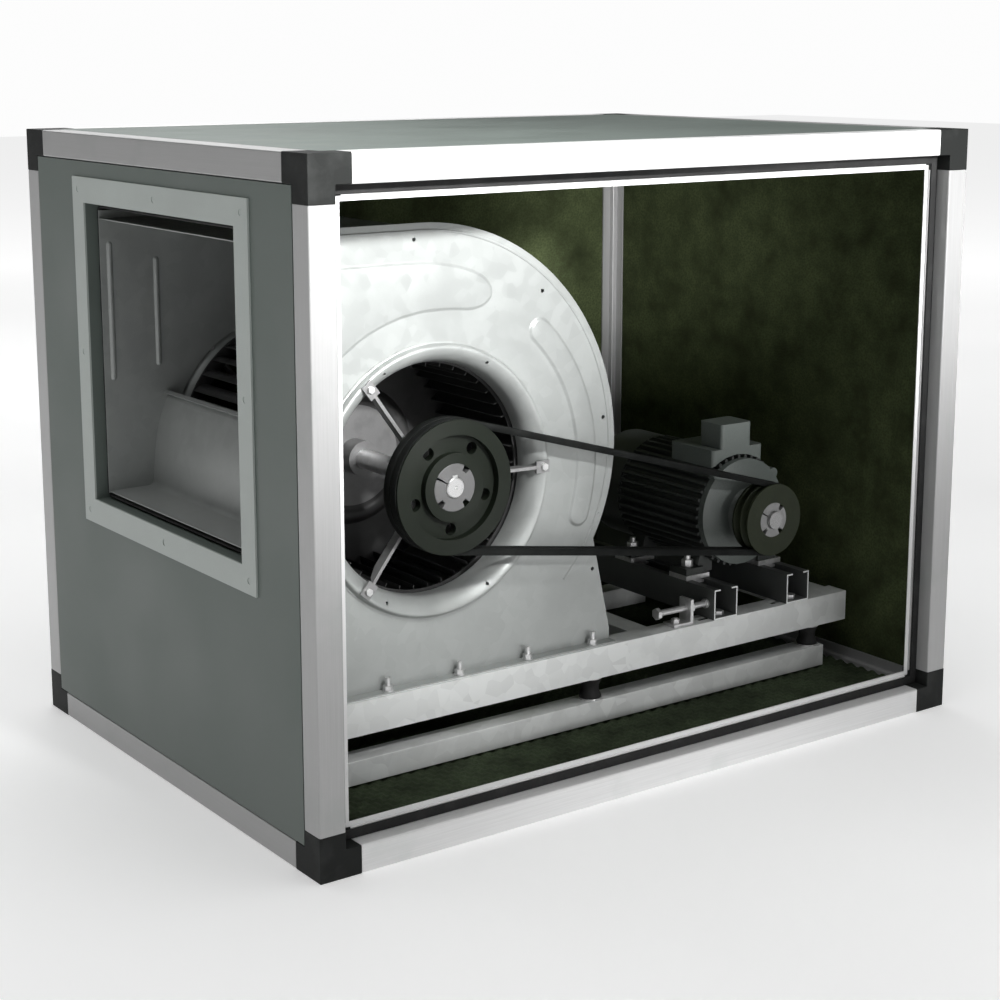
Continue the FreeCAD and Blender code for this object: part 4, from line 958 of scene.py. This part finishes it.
def inlet_rings():
    """Spun bell mouths, with one smooth roll from the flange over the crest to the throat."""
    face, bore, bore_ring, sheet = PLATE_FRONT, 2.5, 187.0, 1.4
    points = [
        (203.0, face - 1.5), (200.4, face - 2.2), (199.2, face - 5.0), (197.4, face - 8.6),
        (194.2, face - 10.0), (189.6, face - 8.4), (183.8, face - 4.6), (178.6, face + 0.8),
        (174.6, face + 7.4), (172.2, face + 15.0), (171.1, face + 23.0), (171.0, face + 31.0),
    ]
    front = lathe(thick_profile(eased(points, 6), -sheet), FAN_AXIS, 240)
    made = piece("inlet_bells", *joined(front, mirrored_y(*front)), "inlet_rings",
                 stands_for=["inlet_rings"], sharp=50)
    other = 2 * BLOWER_MID - face
    plugs = []
    for turn in (62.0, 118.0, 242.0, 298.0):
        place = polar(bore_ring, turn)
        for low, high in ((face - 14, face - 4), (other + 4, other + 14)):
            plugs.append(lathe([(0, low), (bore, low), (bore, high), (0, high)], place, 24))
    drilled(made, joined(*plugs))


inlet_rings()


def stadium(inner, outer, start, end):
    """Loop of a curved field with round ends: outer side first, then its inner side."""
    count, cap = 48, 12
    middle, half = (inner + outer) / 2, (outer - inner) / 2
    quarter = math.copysign(90, end - start)
    far, near = polar(middle, end), polar(middle, start)
    loop = []
    for k in range(cap):
        loop.append(polar(half, start - quarter + quarter * k / cap, near))
    loop += arc_points(outer, start, end, count)
    for k in range(1, cap + 1):
        loop.append(polar(half, end + quarter * k / cap, far))
    for k in range(cap):
        loop.append(polar(half, end + quarter + quarter * k / cap, far))
    loop += arc_points(inner, end, start, count)
    for k in range(1, cap + 1):
        loop.append(polar(half, start + 180 + quarter * k / cap, near))
    return loop


def outlet_field():
    """Loop of the field beside the outlet, which follows the scroll's top to a round nose."""
    top = [(30.0, 783.0), (110, 783), (190, 783), (250, 783), (300, 782), (340, 777),
           (375, 768), (402, 755), (416, 739), (416, 722), (402, 710)]
    low = [(402, 710), (380, 706), (350, 708), (323, 709), (290, 707.5), (250, 700), (205, 683),
           (168, 660), (130, 632), (90, 612), (30, 604)]
    return eased(top, 5) + eased(low, 5)[1:]


def side_plates():
    """The two pressed fields on the outer face of each side plate."""
    height, run = 3.0, 6.0
    right = pressed(stadium(256, 297, 47, -18), PLATE_FRONT, height, run)
    top = pressed(outlet_field(), PLATE_FRONT, height, run)
    fields = joined(right, top)
    piece("plate_fields_front", *fields, "front_side_plate", sharp=60)
    piece("plate_fields_rear", *mirrored_y(*fields), "rear_side_plate", sharp=60)


side_plates()


def upright(x, low, high, half):
    """Loop of an upright rib with round ends, split evenly between its two long sides."""
    count, cap = 10, 8
    right = [(x + half, low + (high - low) * k / (count - 1)) for k in range(count)]
    over = [(x + half * math.cos(math.pi * k / (2 * cap)),
             high + half * math.sin(math.pi * k / (2 * cap))) for k in range(1, 2 * cap)]
    left = [(2 * x - p[0], p[1]) for p in right[::-1]]
    under = [(2 * x - p[0], low + high - p[1]) for p in over]
    return under[cap:] + right + over + left + under[:cap]


def outlet_ribs():
    """Upright stiffening ribs on the inner faces beside the outlet."""
    sheet, half, height, run = 2.0, 5.0, 3.2, 3.6
    ribs = [
        pressed(upright(x, low, high, half), PLATE_REAR - sheet, height, run)
        for x, low, high in ((32.0, 581, 784), (108.0, 597, 757))
    ]
    made = joined(*ribs)
    piece("outlet_ribs_rear", *made, "rear_side_plate", sharp=60)
    piece("outlet_ribs_front", *mirrored_y(*made), "front_side_plate", sharp=60)


outlet_ribs()


def wrap_path(offset):
    """Stations along the scroll wrap, each with its outward way, from the outlet to the lip."""
    (r1, r2, r3, r4), (x, z) = SCROLL_R, SCROLL_TOP
    outlet = 20.0
    path = [((outlet + (x - outlet) * k / WRAP_STRAIGHT, z + r1 + offset), (0, 1))
            for k in range(WRAP_STRAIGHT)]
    c1 = (x, z)
    c2 = (x + r1 - r2, z)
    c3 = (c2[0], z - r2 + r3)
    c4 = (c3[0] - r3 + r4, c3[1])
    for centre, radius, start, sweep in (
        (c1, r1, 90, 90), (c2, r2, 0, 90), (c3, r3, -90, 90), (c4, r4, 180, 26),
    ):
        count = sweep // WRAP_STEP
        for k in range(count + 1):
            turn = start - sweep * k / count
            path.append((polar(radius + offset, turn, centre), heading(turn)))
    return path


def lock_seam():
    """Folded seam that joins the wrap to each side plate, as far as halfway down its back."""
    y = PLATE_FRONT
    section = [(-2.2, y + 0.4), (-1.7, y - 0.7), (-0.8, y - 1.2), (0.8, y - 1.2), (1.7, y - 0.7),
               (2.2, y + 0.4)]
    first_arc = 90 // WRAP_STEP + 1
    half_arc = 45 // WRAP_STEP + 1
    stations = wrap_path(2.0)[:WRAP_STRAIGHT + first_arc + half_arc]
    seam = swept(stations, section, closed=False)
    piece("lock_seam_front", *seam, "front_side_plate", sharp=70)
    piece("lock_seam_rear", *mirrored_y(*seam), "rear_side_plate", sharp=70)


lock_seam()


def belt_path():
    """Stations round both pulleys, each with its outward way."""
    big, small = 95.0, 56.0
    dx, dz = MOTOR_X - SHAFT_X, MOTOR_Z - SHAFT_Z
    lean = math.degrees(math.atan2(dz, dx))
    ease = math.degrees(math.asin((big - small) / math.hypot(dx, dz)))
    top, bottom = lean + 90 - ease, lean - 90 + ease
    path = []

    def wrap(centre, radius, start, end, count):
        """Stations round a pulley."""
        for k in range(count + 1):
            turn = start + (end - start) * k / count
            path.append((polar(radius, turn, centre), heading(turn)))

    def run(first, last, turn):
        """Stations along a straight run, without its ends."""
        count = 60
        for k in range(1, count):
            t = k / count
            path.append(((first[0] + (last[0] - first[0]) * t,
                          first[1] + (last[1] - first[1]) * t), heading(turn)))

    wrap(FAN_AXIS, big, top, bottom + 360, 60)
    run(polar(big, bottom), polar(small, bottom, MOTOR_AXIS), bottom)
    wrap(MOTOR_AXIS, small, bottom, top, 40)
    run(polar(small, top, MOTOR_AXIS), polar(big, top), top)
    return path


def belts():
    """V-belts with a crowned back."""
    first, pitch = 153.0, 15.0
    path = belt_path()
    for groove, name in enumerate(("v_belt_front", "v_belt_rear")):
        mid = first + pitch * groove
        section = [(-6.0, mid - 2.9), (-5.6, mid - 3.4), (2.9, mid - 6.35), (3.5, mid - 6.2),
                   (3.8, mid - 3.5), (3.9, mid), (3.8, mid + 3.5), (3.5, mid + 6.2),
                   (2.9, mid + 6.35), (-5.6, mid + 3.4), (-6.0, mid + 2.9)]
        made = piece(name + "_wrapped", *swept(path, section), name, body="blend",
                     stands_for=[name], sharp=35)
        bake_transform(made)


belts()


def notched_bush(name, node, centre, radius, bore):
    """Taper bush with its slit and the half-round screw pockets cut in its rim."""
    front, back = 143.6, 176.0
    slit, gap, notches, notch_half, notch_depth = 150, 3.0, (52, 308, 222), 8.5, 8.5
    count = 240
    verts, rows = [], []
    for k in range(count + 1):
        turn = slit + gap + (360 - 2 * gap) * k / count
        near = any(abs((turn - n + 180) % 360 - 180) < notch_half for n in notches)
        outer = radius - notch_depth if near else radius
        row = []
        for r, along in ((bore, front + 0.8), (bore + 0.8, front), (outer - 0.8, front),
                         (outer, front + 0.8), (outer - 1.5, back), (bore, back)):
            x, z = polar(r, turn, centre)
            row.append(len(verts))
            verts.append(at(x, along, z))
        rows.append(row)
    faces = loop_faces(len(rows), len(rows[0]), closed=False)
    faces += [tuple(rows[0]), tuple(rows[-1][::-1])]
    piece(name, verts, faces, node, stands_for=[node], sharp=30)


notched_bush("large_bush_notched", "large_bush", FAN_AXIS, 34.8, 15.1)
notched_bush("small_bush_notched", "small_bush", MOTOR_AXIS, 28.3, 14.1)


def fan_shaft():
    """Ground shaft with chamfered, centre-drilled ends."""
    low, high, chamfer = 141.0, 671.0, 1.6
    drill, mouth, lip, deep = 2.6, 3.2, 1.2, 4.5
    profile = [(0, low + deep), (drill, low + lip), (mouth, low), (SHAFT_R - chamfer, low),
               (SHAFT_R, low + chamfer), (SHAFT_R, high - chamfer), (SHAFT_R - chamfer, high),
               (mouth, high), (drill, high - lip), (0, high - deep)]
    piece("fan_shaft_turned", *lathe(profile, FAN_AXIS, 96), "fan_shaft",
          stands_for=["fan_shaft"], sharp=30)


fan_shaft()


def hub_dish():
    """Pressed dish that stiffens the wheel's centre disc on its front side."""
    points = [(77.0, 415.2), (84.0, 415.4), (90.0, 413.0), (98.0, 413.0), (104.0, 417.0),
              (108.0, 420.6)]
    outline = eased(points, 4) + [(108.0, 421.2), (77.0, 421.2)]
    piece("wheel_dish", *lathe(outline, FAN_AXIS), "wheel_hub", sharp=45,
          material=MATERIALS["wheel_steel"])


hub_dish()

# ---------------------------------------------------------------- motor and carriage

for node in ("cross_rails", "motor_packers", "motor_foot_bolts", "clamp_bolts", "tension_screw"):
    refined(node, 0.6)
refined("terminal_box", 2.2, 3)
refined("terminal_box_lid", 2.2, 3)
refined("motor_front_shield", 0.8)
